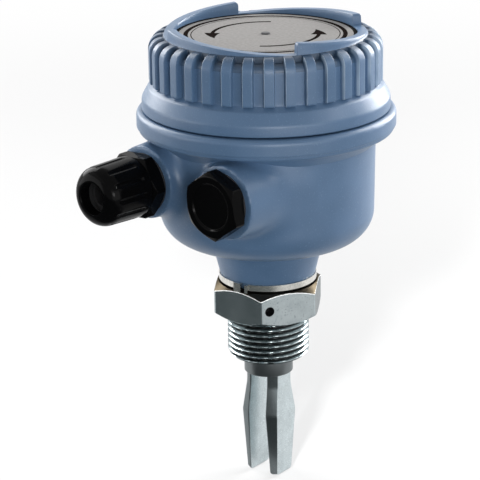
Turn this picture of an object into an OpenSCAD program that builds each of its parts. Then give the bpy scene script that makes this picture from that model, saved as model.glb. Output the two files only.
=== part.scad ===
// Vibrating fork level switch: a nylon housing with a screw lid and two conduit entries,
// on a stainless hexagon with a 1 inch parallel thread and a two-tine fork.
// Origin: centre of the hexagon's underside, the seat of the process thread. +Z points up
// to the lid, and the conduit entries face -Y. All sizes are in millimetres.

/* [Process connection] */
// Outside radius of the process thread
thread_r = 16.62; // [15:0.01:18.5]
// Length of the threaded shank below the hexagon
thread_length = 18.5; // [15:0.1:30]
// Hexagon size across the flats
hex_flats = 41; // [38:0.5:46]
// Thickness of the hexagon
hex_height = 13.5; // [11:0.1:16]
// Slope of the hexagon's chamfers, in degrees from the horizontal
hex_chamfer_angle = 32; // [20:1:40]
// Turn of the hexagon and the fork about the vertical axis, in degrees
sensor_turn = 5; // [0:1:60]
// Radius of the spigot inside the housing's neck
spigot_r = 14.9; // [14:0.1:15.5]
// Radius of the bore that holds the piezo stack
sensor_bore_r = 6.5; // [6:0.1:7]
// Radius of the blind tag hole in one flat of the hexagon
tag_hole_r = 2; // [1:0.1:2.5]

/* [Fork] */
// Radius of the ring that carries the tines
fork_ring_r = 10; // [9.5:0.1:12]
// Height of the ring below the threaded shank
fork_ring_height = 7.7; // [6:0.1:12]
// Thickness of the diaphragm between the stack and the tines
diaphragm = 2.5; // [1.5:0.1:3.5]
// Length of a tine below the ring
tine_length = 44.6; // [36:0.1:55]
// Distance from the ring down to the widest place of a tine
tine_waist = 17.7; // [12:0.1:22]
// Length of the straight root of a tine
tine_neck = 5.5; // [3:0.1:8]
// Half of the gap between the tines at their root
tine_gap_half = 3.4; // [2.5:0.1:4]
// Thickness of a tine at its root
tine_thickness = 5.3; // [4.5:0.1:6]
// Half width of a tine's inner face at its widest place
tine_half_width = 8.3; // [7:0.1:10]

/* [Housing] */
// Radius of the housing's body under its rim
body_r = 43.6; // [42:0.1:50]
// Wall of the body at its top
body_wall = 5.4; // [4.5:0.1:6.5]
// How much the body narrows towards its bottom
body_draft = 0.7; // [0.2:0.1:1.5]
// Height of the body from its bottom to the rim
body_height = 47.6; // [46:0.1:60]
// Thickness of the body's floor
floor_thickness = 6; // [4:0.1:7]
// Radius of the round between the body's wall and its bottom
bottom_round = 12.5; // [8:0.1:16]
// Height of the rim round the body
rim_height = 6.6; // [5:0.1:9]
// Height of the threaded collar above the rim
collar_height = 13.4; // [11:0.1:16]
// Wall of the threaded collar
collar_wall = 2.4; // [2:0.1:3]
// Height of the tapered neck
neck_height = 17.2; // [16:0.1:30]
// Radius of the neck where it meets the body
neck_top_r = 23; // [20:0.1:24]
// Radius of the neck at its lower end
neck_end_r = 19.4; // [18.2:0.1:20]
// Height of the metal band round the neck's end
band_height = 2.5; // [1.5:0.1:3]

/* [Conduit entries] */
// Distance between the two conduit axes
conduit_spacing = 41.9; // [40:0.1:44]
// Height of the conduit axes above the bottom of the body
conduit_rise = 29.6; // [26:0.1:31]
// Radius of a conduit boss at its face
boss_r = 14.5; // [14:0.05:15.5]
// How far the boss faces stand in front of the body
boss_proud = 4.8; // [2:0.1:7]
// Radius of the conduit holes
conduit_r = 9.25; // [8.5:0.05:9.5]
// Length of the screwed shanks in the conduits
shank_length = 9.5; // [8:0.1:11]
// Size of the gland's and the plug's hexagon across the flats
conduit_hex = 24; // [23.5:0.1:27]
// Thickness of the plug's head
plug_head = 6.1; // [4:0.1:8]
// Thickness of the gland's hexagon
gland_hex_height = 6.3; // [5:0.1:9]
// Radius of the gland's dome nut
dome_r = 12.3; // [12:0.05:13]
// Length of the gland's dome nut
dome_length = 20.8; // [20:0.1:28]
// Radius of the opening in the dome nut
dome_opening_r = 6.4; // [5.8:0.1:7]
// Radius of the cable hole in the gland's seal
cable_r = 5; // [4:0.1:5.4]

/* [Lid] */
// Height of the lid from its foot to the flat rim round the label
lid_height = 29.1; // [28:0.1:40]
// Wall of the lid between its ribs
lid_wall = 2.2; // [1.5:0.1:3]
// Thickness of the lid's top under the label
lid_plate = 3.4; // [2.5:0.1:5]
// Height of the plain skirt under the ribs
skirt_height = 11.5; // [8:0.1:15]
// How far the skirt's foot stands out from the ribs
skirt_flare = 3.2; // [2:0.1:4]
// Radius of the cove from the lid's wall out to its skirt
skirt_cove = 7; // [6.5:0.1:9]
// Number of grip ribs
rib_count = 35; // [24:1:40]
// Depth of the grooves between the ribs
rib_depth = 2.3; // [1:0.1:3]
// Width of a rib
rib_width = 4.6; // [3:0.1:5.2]
// Radius of the round over the lid's shoulder
shoulder_round = 5.5; // [4.5:0.1:7]
// Radius of the label's recess
recess_r = 36.3; // [33:0.1:36.8]
// Depth of the label's recess below the rim
recess_depth = 0.7; // [0.5:0.1:2]
// Height of a ramped lip at its tall end
lip_height = 4.5; // [2:0.1:6]
// Angle that a ramped lip covers, in degrees
lip_span = 85; // [60:1:88]
// Section radius of the lid's seal
lid_seal_r = 1.5; // [1:0.1:1.8]

/* [Electronics] */
// Distance from the housing's axis to the flat side of the cassette
cassette_flat = 13; // [12:0.1:16]
// Height of the cassette's top below the rim's underside
cassette_drop = 6; // [4:0.1:7]
// Number of wiring terminals
terminal_count = 5; // [3:1:5]
// Distance between neighbouring terminals
terminal_pitch = 9; // [8:0.1:9.5]
// Height of the terminal block
terminal_height = 11; // [10:0.1:16]
// Radius of the mode selector's knob
selector_r = 5.5; // [4:0.1:7]
// Radius of the light guide under the lens
guide_r = 1.9; // [1.5:0.1:2.2]

/* [Hidden] */
$fn = 96;

// Colours as the photo shows them
nylon_blue = [0.34, 0.43, 0.55];
nylon_black = [0.05, 0.05, 0.06];
stainless = [0.72, 0.73, 0.74];
bright_band = [0.82, 0.80, 0.74];
label_grey = [0.72, 0.71, 0.69];
lens_grey = [0.33, 0.33, 0.34];
rubber_black = [0.08, 0.08, 0.08];
ceramic_white = [0.92, 0.90, 0.85];
crystal_tan = [0.66, 0.58, 0.44];
brass = [0.80, 0.66, 0.32];
cassette_grey = [0.25, 0.26, 0.28];
board_green = [0.10, 0.36, 0.20];
terminal_green = [0.20, 0.42, 0.30];
relay_orange = [0.85, 0.45, 0.12];
led_red = [0.75, 0.12, 0.10];
clear_acrylic = [0.85, 0.90, 0.92];
selector_white = [0.90, 0.90, 0.88];

// Clearances
overlap = 1;
eps = 0.01;
running_gap = 0.05;
conduit_gap = 0.1;
seat_gap = 0.1;
soft_gap = 0.3;
half_sector = 30;

// Heights from the seat upwards
band_gap = 1;
neck_end_z = hex_height + band_gap;
body_z = neck_end_z + neck_height;
floor_z = body_z + floor_thickness;
rim_z = body_z + body_height;
rim_top_z = rim_z + rim_height;
collar_top_z = rim_top_z + collar_height;
lid_gap = 0.5;
foot_z = rim_top_z + lid_gap;
lid_top_z = foot_z + lid_height;
recess_z = lid_top_z - recess_depth;
lid_ceiling_z = recess_z - lid_plate;
skirt_top_z = foot_z + skirt_height;

// Radii from the cavity outwards
cavity_r = body_r - body_wall;
collar_r = cavity_r + collar_wall;
thread_depth = 1.1;
lid_bore_r = collar_r + thread_depth;
groove_r = lid_bore_r + lid_wall;
rib_r = groove_r + rib_depth;
foot_r = rib_r + skirt_flare;
rim_step = 2.2;
rim_r = foot_r + rim_step;
rim_round = 2.2;
ledge_step = 0.7;
ledge_height = 1.9;
neck_bore_r = spigot_r + seat_gap;
neck_fillet = 2;
cavity_round = bottom_round - floor_thickness;

// Lid seal, in the counterbore of the lid's foot
lid_seal_ring_r = collar_r + soft_gap + lid_seal_r;
lid_seal_z = rim_top_z + soft_gap + lid_seal_r;
counterbore_r = lid_seal_ring_r + lid_seal_r + soft_gap;
counterbore_z = lid_seal_z + lid_seal_r + soft_gap;

// Lid top
lip_width = 3.7;
lip_margin = 0.2;
lip_turn = 144.5;
lip_count = 4;
lip_outer_r = recess_r + lip_width;
lip_ring_r = lip_outer_r + lip_margin;
lip_tilt = atan(lip_height / (recess_r + lip_width / 2));
label_gap = 1.7;
label_thickness = 0.3;
lens_r = 1.9;
lens_flange_r = 3.2;
lens_flange = 1.2;
lens_proud = 0.5;
rib_taper = 0.92;
rib_turn = -46.5;
skirt_draft = 0.15;
cove_rise = 1.4;
cove_top_z = skirt_top_z + cove_rise;

// Neck and metal band
band_seat_depth = 0.7;
band_seat_r = neck_end_r - band_seat_depth;
band_thickness = 1.15;
band_top_z = neck_end_z + band_height;
band_angle = 283;
band_split = 5;
ear_reach = 1.3;
ear_angles = [9, 3.5];
ear_drop = 0.9;
ear_tops = [band_height + 0.4, band_height - running_gap];

// Neck seal, in a groove of the spigot
spigot_drop = 2;
spigot_height = floor_z - hex_height - spigot_drop;
neck_seal_r = 1;
neck_seal_z = hex_height + spigot_height / 2;
neck_seal_ring_r = spigot_r - neck_seal_r + seat_gap / 2;
seal_groove_r = neck_seal_ring_r - neck_seal_r - running_gap;

// Conduits, drawn along their own axis and then turned to face -Y
boss_face = body_r + boss_proud;
conduit_z = body_z + conduit_rise;
boss_end_y = 16;
boss_depth = boss_face - boss_end_y;
boss_draft = 2;
bore_depth = boss_face - cassette_flat;
shank_r = conduit_r - conduit_gap;
washer_thickness = 1;
washer_r = conduit_hex / 2 - seat_gap;
head_y = seat_gap + washer_thickness;
shank_wall = 2.2;
plug_bore_r = shank_r - shank_wall;
plug_hex_turn = 36;
plug_rear_r = conduit_hex / 2 + 0.6;
plug_rim = 3.2;
plug_recess_r = conduit_hex / 2 - plug_rim;
conduit_hex_front_r = conduit_hex / 2 - 0.2;
plug_recess = 0.7;
gland_hex_y = head_y + gland_hex_height;
gland_hex_turn = 0;
gland_rear_r = conduit_hex / 2 - seat_gap;
dome_wall = 2;
gland_thread_r = dome_r - dome_wall;
gland_thread_length = 12;
gland_bore_r = 7.6;
gland_seal_r = gland_bore_r - seat_gap;
gland_seal_length = 9;
gland_seal_proud = 2.5;
gland_throat_r = 6.6;
gland_seal_y = gland_hex_y + gland_thread_length - gland_seal_length + gland_seal_proud;
dome_y = gland_hex_y + soft_gap;
dome_round = 5.5;
dome_bore_r = gland_thread_r + soft_gap;
slip_ring_thickness = 1.2;
slip_ring_y = gland_seal_y + gland_seal_length + soft_gap;
slip_ring_r = dome_bore_r - soft_gap;
dome_bore_length = slip_ring_y + slip_ring_thickness + soft_gap - dome_y;
dome_flutes = 12;
flute_r = 1.6;
flute_depth = 0.35;
flute_margin = 3;

// Process connection
thread_end_chamfer = 1.6;
hex_top_inset = 0.3;
hex_bottom_inset = 0.1;
hex_top_r = hex_flats / 2 - hex_top_inset;
hex_bottom_r = hex_flats / 2 - hex_bottom_inset;
hex_slope = tan(hex_chamfer_angle);
tag_hole_offset = 8;
tag_hole_z = hex_height / 2;
tag_hole_depth = 5;
fork_shoulder = 1.8;
fork_spigot_r = fork_ring_r - fork_shoulder;
fork_spigot = 6;

// Fork
fork_top_z = -thread_length;
fork_base_z = fork_top_z - fork_ring_height;
tine_tip_z = fork_base_z - tine_length;
tine_neck_z = fork_base_z - tine_neck;
tine_waist_z = fork_base_z - tine_waist;
tine_root_inset = 2.3;
tine_tip_inset = 3.3;
tine_outer_inset = 1.5;
tine_waist_shift = 0.5;
tine_tip_shift = 1.9;
tine_waist_growth = 0.3;
tine_tip_loss = 2;
tine_tip_round = 1.4;
slice = 0.02;

// Piezo stack, from the diaphragm upwards
stack_clearance = 0.4;
stack_r = sensor_bore_r - stack_clearance;
stack_hole_r = 2.2;
insulator_thickness = 1.2;
crystal_thickness = 2.5;
electrode_thickness = 0.3;
lower_insulator_z = fork_base_z + diaphragm;
drive_crystal_z = lower_insulator_z + insulator_thickness;
drive_electrode_z = drive_crystal_z + crystal_thickness;
pickup_crystal_z = drive_electrode_z + electrode_thickness;
pickup_electrode_z = pickup_crystal_z + crystal_thickness;
upper_insulator_z = pickup_electrode_z + electrode_thickness;
stack_nut_z = upper_insulator_z + insulator_thickness;
stack_nut_height = 7;
stack_nut_slot = 1.4;
lead_r = 0.5;
drive_lead_x = -1.1;
pickup_lead_x = 1.2;
lead_hole_r = 0.8;

// Electronics
cassette_top_z = rim_z - cassette_drop;
cassette_flange = 3;
cassette_flange_z = cassette_top_z - cassette_flange;
cassette_clearance = 0.8;
cassette_flange_r = cavity_r - cassette_clearance;
post_r = 3.6;
post_embed = 0.4;
post_circle_r = cavity_r - post_r + post_embed;
post_angles = [25, 90, 155];
post_hole_r = 1.3;
post_hole_depth = 10;
cassette_r = post_circle_r - post_r - cassette_clearance;
cassette_wall = 2;
cassette_lift = 1;
cassette_z = floor_z + cassette_lift;
cassette_inner_r = cassette_r - cassette_wall;
cassette_inner_flat = cassette_flat - cassette_wall;
board_ledge = 1.5;
board_thickness = 1.6;
board_depth = 9.4;
board_top_z = cassette_flange_z - board_depth;
board_z = board_top_z - board_thickness;
base_thickness = 2;
base_hole_r = 3;
screw_hole_r = 1.7;
screw_shank_r = 1.25;
screw_head_r = 2.9;
screw_head = 2;
screw_slot = 0.8;
screw_length = 9;
relay_size = [20, 10, 8];
relay_y = 12;
selector_place = [16, 15];
selector_stem_r = 2;
selector_height = 6;
selector_grip = 1.2;
selector_grip_share = 0.7;
selector_grip_half = selector_r * selector_grip_share;
led_r = 2.2;
led_flange_r = 2.6;
led_flange = 1;
led_height = 5;
guide_foot_r = 4.2;
guide_foot = 7;
guide_top_z = lid_ceiling_z - lens_flange - soft_gap;
terminal_depth = 7.4;
terminal_setback = 0.4;
terminal_y = -cassette_flat + terminal_setback;
terminal_length = terminal_count * terminal_pitch;
terminal_mouth = [5, 6, 5];
terminal_mouth_z = 2;
terminal_screw_hole_r = 2.4;
terminal_head_r = 2.2;
terminal_head = 1.6;
terminal_shank_r = 1.4;
terminal_shank = 3.6;
clamp_size = [4.4, 5, 0.8];
clamp_setback = 0.5;

// Section helpers
module ring_section(inner, outer, bottom, top) {
    translate([inner, bottom])
        square([outer - inner, top - bottom]);
}

module ring(inner, outer, height) {
    difference() {
        cylinder(r = outer, h = height);
        translate([0, 0, -overlap])
            cylinder(r = inner, h = height + 2 * overlap);
    }
}

module torus(ring_r, section_r) {
    rotate_extrude()
        translate([ring_r, 0])
            circle(r = section_r);
}

// A hexagon whose corners are turned off by a cone at each end
module turned_hexagon(flats, height, bottom_r, top_r, slope) {
    corner_r = flats / 2 / cos(half_sector);
    bottom_drop = (corner_r + overlap - bottom_r) * slope;
    top_drop = (corner_r + overlap - top_r) * slope;
    intersection() {
        cylinder(r = corner_r, h = height, $fn = 6);
        rotate_extrude()
            polygon([[0, 0], [bottom_r, 0], [corner_r + overlap, bottom_drop],
                [corner_r + overlap, height - top_drop], [top_r, height], [0, height]]);
    }
}

// Places a shape drawn along +Z from the boss face on one of the two conduit axes
module on_conduit(side) {
    translate([side * conduit_spacing / 2, -boss_face, conduit_z])
        rotate([90, 0, 0])
            children();
}

// A D-shaped disc: a round plate with one flat towards -Y
module flatted_disc(radius, flat, height) {
    intersection() {
        cylinder(r = radius, h = height);
        translate([-radius - overlap, -flat, -overlap])
            cube([2 * (radius + overlap), radius + flat + overlap, height + 2 * overlap]);
    }
}

module at_posts() {
    for (angle = post_angles)
        rotate([0, 0, angle])
            translate([post_circle_r, 0, 0])
                children();
}

module at_terminals() {
    for (i = [0 : terminal_count - 1])
        translate([(i - (terminal_count - 1) / 2) * terminal_pitch, terminal_y + terminal_depth / 2, 0])
            children();
}

// Outer section of the housing: neck, drafted body with its rounded bottom, ledge, rim and collar
module housing_section() {
    low_r = body_r - body_draft;
    polygon([[0, band_top_z], [neck_end_r, band_top_z], [neck_top_r, body_z], [0, body_z]]);
    ring_section(0, band_seat_r, neck_end_z, band_top_z + eps);
    difference() {
        ring_section(0, neck_top_r + neck_fillet, body_z - neck_fillet, body_z + eps);
        translate([neck_top_r + neck_fillet, body_z - neck_fillet])
            circle(r = neck_fillet);
    }
    ring_section(0, low_r - bottom_round, body_z, body_z + bottom_round);
    translate([low_r - bottom_round, body_z + bottom_round])
        circle(r = bottom_round);
    polygon([[0, body_z + bottom_round], [low_r, body_z + bottom_round], [body_r, rim_z + eps], [0, rim_z + eps]]);
    ring_section(0, rim_r - ledge_step, rim_z - ledge_height, rim_z + eps);
    ring_section(0, rim_r, rim_z, rim_top_z - rim_round);
    ring_section(0, rim_r - rim_round, rim_z, rim_top_z);
    translate([rim_r - rim_round, rim_top_z - rim_round])
        circle(r = rim_round);
    ring_section(0, collar_r, rim_z, collar_top_z);
}

// Section of the cavity: its bottom is rounded to keep the wall even
module cavity_section() {
    ring_section(0, cavity_r, floor_z + cavity_round, collar_top_z + overlap);
    ring_section(0, cavity_r - cavity_round, floor_z, collar_top_z);
    translate([cavity_r - cavity_round, floor_z + cavity_round])
        circle(r = cavity_round);
}

module housing() {
    color(nylon_blue)
        union() {
            difference() {
                union() {
                    rotate_extrude()
                        housing_section();
                    for (side = [-1, 1])
                        on_conduit(side)
                            translate([0, 0, -boss_depth])
                                cylinder(r1 = boss_r + boss_draft, r2 = boss_r, h = boss_depth);
                }
                rotate_extrude()
                    cavity_section();
                translate([0, 0, neck_end_z - overlap])
                    cylinder(r = neck_bore_r, h = floor_z - neck_end_z + 2 * overlap);
                for (side = [-1, 1])
                    on_conduit(side)
                        translate([0, 0, -bore_depth])
                            cylinder(r = conduit_r, h = bore_depth + overlap);
            }
            at_posts()
                translate([0, 0, floor_z])
                    difference() {
                        cylinder(r = post_r, h = cassette_flange_z - floor_z);
                        translate([0, 0, cassette_flange_z - floor_z - post_hole_depth])
                            cylinder(r = post_hole_r, h = post_hole_depth + overlap);
                    }
        }
}

// Outline of the grip: a toothed disc whose teeth are the ribs
module rib_outline() {
    reach = rib_r + overlap;
    root_half = rib_width / 2 / lip_ring_r * 180 / PI;
    tip_half = rib_width / 2 / reach * 180 / PI * rib_taper;
    polygon([for (i = [0 : rib_count - 1], corner = [[-root_half, lip_ring_r], [-tip_half, reach],
            [tip_half, reach], [root_half, lip_ring_r]])
        let (angle = rib_turn + i * 360 / rib_count + corner[0])
            corner[1] * [cos(angle), sin(angle)]]);
}

// Half section of a capped cylinder with a rounded shoulder
module shouldered_section(radius, round, bottom, top) {
    ring_section(0, radius, bottom, top - round);
    ring_section(0, radius - round, bottom, top);
    translate([radius - round, top - round])
        circle(r = round);
}

// One lip: a ring sector cut by a plane that rises from its start to its tall end
module ramped_lip() {
    reach = lip_outer_r + 2 * overlap;
    intersection() {
        rotate_extrude(angle = lip_span, start = -lip_span)
            ring_section(recess_r - overlap, lip_outer_r, -overlap, lip_height + 2 * overlap);
        rotate([-lip_tilt, 0, 0])
            translate([-overlap, -reach - overlap, -reach])
                cube([reach + overlap, reach + 2 * overlap, reach]);
    }
}

// Half section of the skirt: a drafted band under a cove that runs up to the wall
module skirt_section() {
    difference() {
        polygon([[0, foot_z], [foot_r, foot_z], [foot_r - skirt_draft, cove_top_z], [0, cove_top_z]]);
        translate([groove_r + skirt_cove, cove_top_z])
            circle(r = skirt_cove);
    }
}

module lid() {
    color(nylon_blue)
        difference() {
            union() {
                rotate_extrude() {
                    shouldered_section(groove_r, shoulder_round - rib_depth, foot_z, lid_top_z - rib_depth);
                    ring_section(0, lip_ring_r, foot_z, lid_top_z);
                    skirt_section();
                }
                intersection() {
                    rotate_extrude()
                        shouldered_section(rib_r, shoulder_round, skirt_top_z, lid_top_z);
                    translate([0, 0, foot_z])
                        linear_extrude(height = lid_height + overlap)
                            rib_outline();
                }
                for (i = [0 : lip_count - 1])
                    translate([0, 0, lid_top_z])
                        rotate([0, 0, lip_turn + i * 360 / lip_count])
                            ramped_lip();
            }
            translate([0, 0, recess_z])
                cylinder(r = recess_r, h = recess_depth + lip_height + 2 * overlap);
            translate([0, 0, foot_z - overlap])
                cylinder(r = lid_bore_r, h = lid_ceiling_z - foot_z + overlap);
            translate([0, 0, foot_z - overlap])
                cylinder(r = counterbore_r, h = counterbore_z - foot_z + overlap);
            translate([0, 0, lid_ceiling_z - overlap])
                cylinder(r = lens_r + running_gap, h = lid_plate + 2 * overlap);
        }
}

module lid_label() {
    color(label_grey)
        translate([0, 0, recess_z])
            ring(lens_r + running_gap, recess_r - label_gap, label_thickness);
}

module indicator_lens() {
    lens_top = recess_z + label_thickness + lens_proud;
    color(lens_grey)
        rotate_extrude() {
            ring_section(0, lens_flange_r, lid_ceiling_z - lens_flange, lid_ceiling_z);
            shouldered_section(lens_r, lens_proud, lid_ceiling_z - eps, lens_top);
        }
}

module lid_o_ring() {
    color(rubber_black)
        translate([0, 0, lid_seal_z])
            torus(lid_seal_ring_r, lid_seal_r);
}

// Gland body: screwed shank, hexagon and the threaded sleeve that holds the seal
module gland_body() {
    color(nylon_black)
        on_conduit(-1)
            difference() {
                union() {
                    translate([0, 0, -shank_length])
                        cylinder(r = shank_r, h = shank_length + head_y + eps);
                    translate([0, 0, head_y])
                        rotate([0, 0, gland_hex_turn])
                            turned_hexagon(conduit_hex, gland_hex_height, gland_rear_r, conduit_hex_front_r,
                                hex_slope);
                    translate([0, 0, gland_hex_y - eps])
                        cylinder(r = gland_thread_r, h = gland_thread_length + eps);
                }
                translate([0, 0, -shank_length - overlap])
                    cylinder(r = gland_throat_r, h = shank_length + gland_hex_y + gland_thread_length);
                translate([0, 0, gland_seal_y])
                    cylinder(r = gland_bore_r, h = gland_seal_length);
            }
}

module gland_washer() {
    color(rubber_black)
        on_conduit(-1)
            translate([0, 0, seat_gap])
                ring(conduit_r + conduit_gap, washer_r, washer_thickness);
}

module gland_seal() {
    color(rubber_black)
        on_conduit(-1)
            translate([0, 0, gland_seal_y])
                ring(cable_r, gland_seal_r, gland_seal_length);
}

module gland_slip_ring() {
    color(ceramic_white)
        on_conduit(-1)
            translate([0, 0, slip_ring_y])
                ring(dome_opening_r, slip_ring_r, slip_ring_thickness);
}

// Dome nut: fluted sleeve with a rounded nose round the cable opening
module gland_dome_nut() {
    color(nylon_black)
        on_conduit(-1)
            translate([0, 0, dome_y])
                difference() {
                    rotate_extrude()
                        shouldered_section(dome_r, dome_round, 0, dome_length);
                    translate([0, 0, -overlap])
                        cylinder(r = dome_opening_r, h = dome_length + 2 * overlap);
                    translate([0, 0, -overlap])
                        cylinder(r = dome_bore_r, h = dome_bore_length + overlap);
                    for (i = [0 : dome_flutes - 1])
                        rotate([0, 0, i * 360 / dome_flutes])
                            translate([dome_r + flute_r - flute_depth, 0, flute_margin])
                                cylinder(r = flute_r, h = dome_length);
                }
}

// Plug: hexagon head with a shallow round recess on a hollow screwed shank
module blanking_plug() {
    color(nylon_black)
        on_conduit(1)
            difference() {
                union() {
                    translate([0, 0, -shank_length])
                        cylinder(r = shank_r, h = shank_length + head_y + eps);
                    translate([0, 0, head_y])
                        rotate([0, 0, plug_hex_turn])
                            turned_hexagon(conduit_hex, plug_head, plug_rear_r, conduit_hex_front_r, hex_slope);
                }
                translate([0, 0, -shank_length - overlap])
                    cylinder(r = plug_bore_r, h = shank_length + overlap);
                translate([0, 0, head_y + plug_head - plug_recess])
                    cylinder(r = plug_recess_r, h = plug_recess + overlap);
            }
}

module plug_washer() {
    color(rubber_black)
        on_conduit(1)
            translate([0, 0, seat_gap])
                ring(conduit_r + conduit_gap, washer_r, washer_thickness);
}

// Split metal band round the neck's end, with an upturned ear at each side of the split
module retaining_ring() {
    inner_r = band_seat_r + running_gap;
    outer_r = band_seat_r + band_thickness;
    color(bright_band)
        translate([0, 0, neck_end_z])
            union() {
                rotate_extrude(angle = 360 - band_split, start = band_angle + band_split / 2)
                    ring_section(inner_r, outer_r, 0, band_height - running_gap);
                rotate_extrude(angle = ear_angles[0], start = band_angle - band_split / 2 - ear_angles[0])
                    ring_section(outer_r - eps, outer_r + ear_reach, -ear_drop, ear_tops[0]);
                rotate_extrude(angle = ear_angles[1], start = band_angle + band_split / 2)
                    ring_section(outer_r - eps, outer_r + ear_reach, -ear_drop, ear_tops[1]);
            }
}

module neck_o_ring() {
    color(rubber_black)
        translate([0, 0, neck_seal_z])
            torus(neck_seal_ring_r, neck_seal_r);
}

// Hexagon with the screwed shank below it and the spigot for the neck above it
module process_connection() {
    top_z = hex_height + spigot_height;
    color(stainless)
        difference() {
            union() {
                rotate([0, 0, sensor_turn])
                    turned_hexagon(hex_flats, hex_height, hex_bottom_r, hex_top_r, hex_slope);
                rotate_extrude()
                    polygon([[0, -thread_length], [thread_r - thread_end_chamfer, -thread_length],
                        [thread_r, -thread_length + thread_end_chamfer], [thread_r, eps], [0, eps]]);
                translate([0, 0, hex_height - eps])
                    cylinder(r = spigot_r, h = spigot_height + eps);
            }
            translate([0, 0, -thread_length - overlap])
                cylinder(r = sensor_bore_r, h = top_z + thread_length + 2 * overlap);
            translate([0, 0, -thread_length - overlap])
                cylinder(r = fork_spigot_r + running_gap, h = fork_spigot + overlap);
            translate([0, 0, neck_seal_z])
                rotate_extrude()
                    ring_section(seal_groove_r, spigot_r + overlap, -neck_seal_r - seat_gap, neck_seal_r + seat_gap);
            rotate([0, 0, sensor_turn - half_sector])
                translate([hex_flats / 2 - tag_hole_depth, -tag_hole_offset, tag_hole_z])
                    rotate([0, 90, 0])
                        cylinder(r = tag_hole_r, h = tag_hole_depth + overlap);
        }
}

// Section of a tine: wide inner face, narrower outer face and slanted sides
module tine_slice(z, inner_x, thickness, half_width, bevel) {
    translate([0, 0, z])
        linear_extrude(height = slice)
            polygon([[inner_x, -half_width], [inner_x + thickness, -half_width + bevel],
                [inner_x + thickness, half_width - bevel], [inner_x, half_width]]);
}

// One tine: a straight root, wider down to the waist, then narrower and thinner to a rounded tip
module tine() {
    waist_x = tine_gap_half + tine_waist_shift;
    tip_x = tine_gap_half + tine_tip_shift;
    root_half = tine_half_width - tine_root_inset;
    tip_half = tine_half_width - tine_tip_inset;
    tip_thickness = tine_thickness - tine_tip_loss;
    waist_thickness = tine_thickness + tine_waist_growth;
    hull() {
        tine_slice(fork_base_z + overlap, tine_gap_half, tine_thickness, root_half, tine_outer_inset);
        tine_slice(tine_neck_z, tine_gap_half, tine_thickness, root_half, tine_outer_inset);
    }
    hull() {
        tine_slice(tine_neck_z, tine_gap_half, tine_thickness, root_half, tine_outer_inset);
        tine_slice(tine_waist_z, waist_x, waist_thickness, tine_half_width, tine_outer_inset);
    }
    hull() {
        tine_slice(tine_waist_z, waist_x, waist_thickness, tine_half_width, tine_outer_inset);
        tine_slice(tine_tip_z + tine_tip_round, tip_x, tip_thickness, tip_half, tine_outer_inset / 2);
        tine_slice(tine_tip_z, tip_x, tip_thickness, tip_half - tine_tip_round, tine_outer_inset / 2);
    }
}

// Fork: welded spigot and ring, bored out behind the diaphragm, with two mirrored tines
module fork() {
    color(stainless)
        difference() {
            union() {
                translate([0, 0, fork_base_z])
                    cylinder(r = fork_ring_r, h = fork_ring_height);
                translate([0, 0, fork_top_z - eps])
                    cylinder(r = fork_spigot_r, h = fork_spigot + eps);
                rotate([0, 0, sensor_turn])
                    for (side = [0, 1])
                        mirror([side, 0, 0])
                            tine();
            }
            translate([0, 0, lower_insulator_z])
                cylinder(r = sensor_bore_r, h = fork_ring_height + fork_spigot);
        }
}

module lower_insulator() {
    color(ceramic_white)
        translate([0, 0, lower_insulator_z])
            cylinder(r = stack_r, h = insulator_thickness);
}

module drive_crystal() {
    color(crystal_tan)
        translate([0, 0, drive_crystal_z])
            cylinder(r = stack_r, h = crystal_thickness);
}

module drive_electrode() {
    color(brass)
        translate([0, 0, drive_electrode_z])
            cylinder(r = stack_r, h = electrode_thickness);
}

module pickup_crystal() {
    color(crystal_tan)
        translate([0, 0, pickup_crystal_z])
            ring(stack_hole_r, stack_r, crystal_thickness);
}

module pickup_electrode() {
    color(brass)
        translate([0, 0, pickup_electrode_z])
            difference() {
                cylinder(r = stack_r, h = electrode_thickness);
                translate([drive_lead_x, 0, -overlap])
                    cylinder(r = lead_hole_r, h = electrode_thickness + 2 * overlap);
            }
}

module upper_insulator() {
    color(ceramic_white)
        translate([0, 0, upper_insulator_z])
            ring(stack_hole_r, stack_r, insulator_thickness);
}

// Slotted nut screwed into the bore to clamp the stack
module stack_nut() {
    color(stainless)
        translate([0, 0, stack_nut_z])
            difference() {
                ring(stack_hole_r, sensor_bore_r - running_gap, stack_nut_height);
                translate([-sensor_bore_r, -stack_nut_slot / 2, stack_nut_height - stack_nut_slot])
                    cube([2 * sensor_bore_r, stack_nut_slot, stack_nut_slot + overlap]);
            }
}

// Two wires from the electrodes up to the circuit board
module sensor_leads() {
    drive_z = drive_electrode_z + electrode_thickness;
    pickup_z = pickup_electrode_z + electrode_thickness;
    color(led_red) {
        translate([drive_lead_x, 0, drive_z])
            cylinder(r = lead_r, h = board_z - drive_z);
        translate([pickup_lead_x, 0, pickup_z])
            cylinder(r = lead_r, h = board_z - pickup_z);
    }
}

// Cassette: D-shaped case, open below, hung by its flange from the housing's posts
module electronics_cassette() {
    color(cassette_grey)
        difference() {
            union() {
                translate([0, 0, cassette_z])
                    flatted_disc(cassette_r, cassette_flat, cassette_top_z - cassette_z);
                translate([0, 0, cassette_flange_z])
                    flatted_disc(cassette_flange_r, cassette_flat, cassette_flange);
            }
            translate([0, 0, cassette_z - overlap])
                flatted_disc(cassette_inner_r, cassette_inner_flat, board_top_z - cassette_z + overlap);
            translate([0, 0, cassette_z])
                flatted_disc(cassette_inner_r - board_ledge, cassette_inner_flat - board_ledge,
                    cassette_flange_z - cassette_z);
            at_posts()
                translate([0, 0, cassette_flange_z - overlap])
                    cylinder(r = screw_hole_r, h = cassette_flange + 2 * overlap);
            translate([selector_place[0], selector_place[1], cassette_flange_z - overlap])
                cylinder(r = selector_stem_r + running_gap, h = cassette_flange + 2 * overlap);
        }
}

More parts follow.
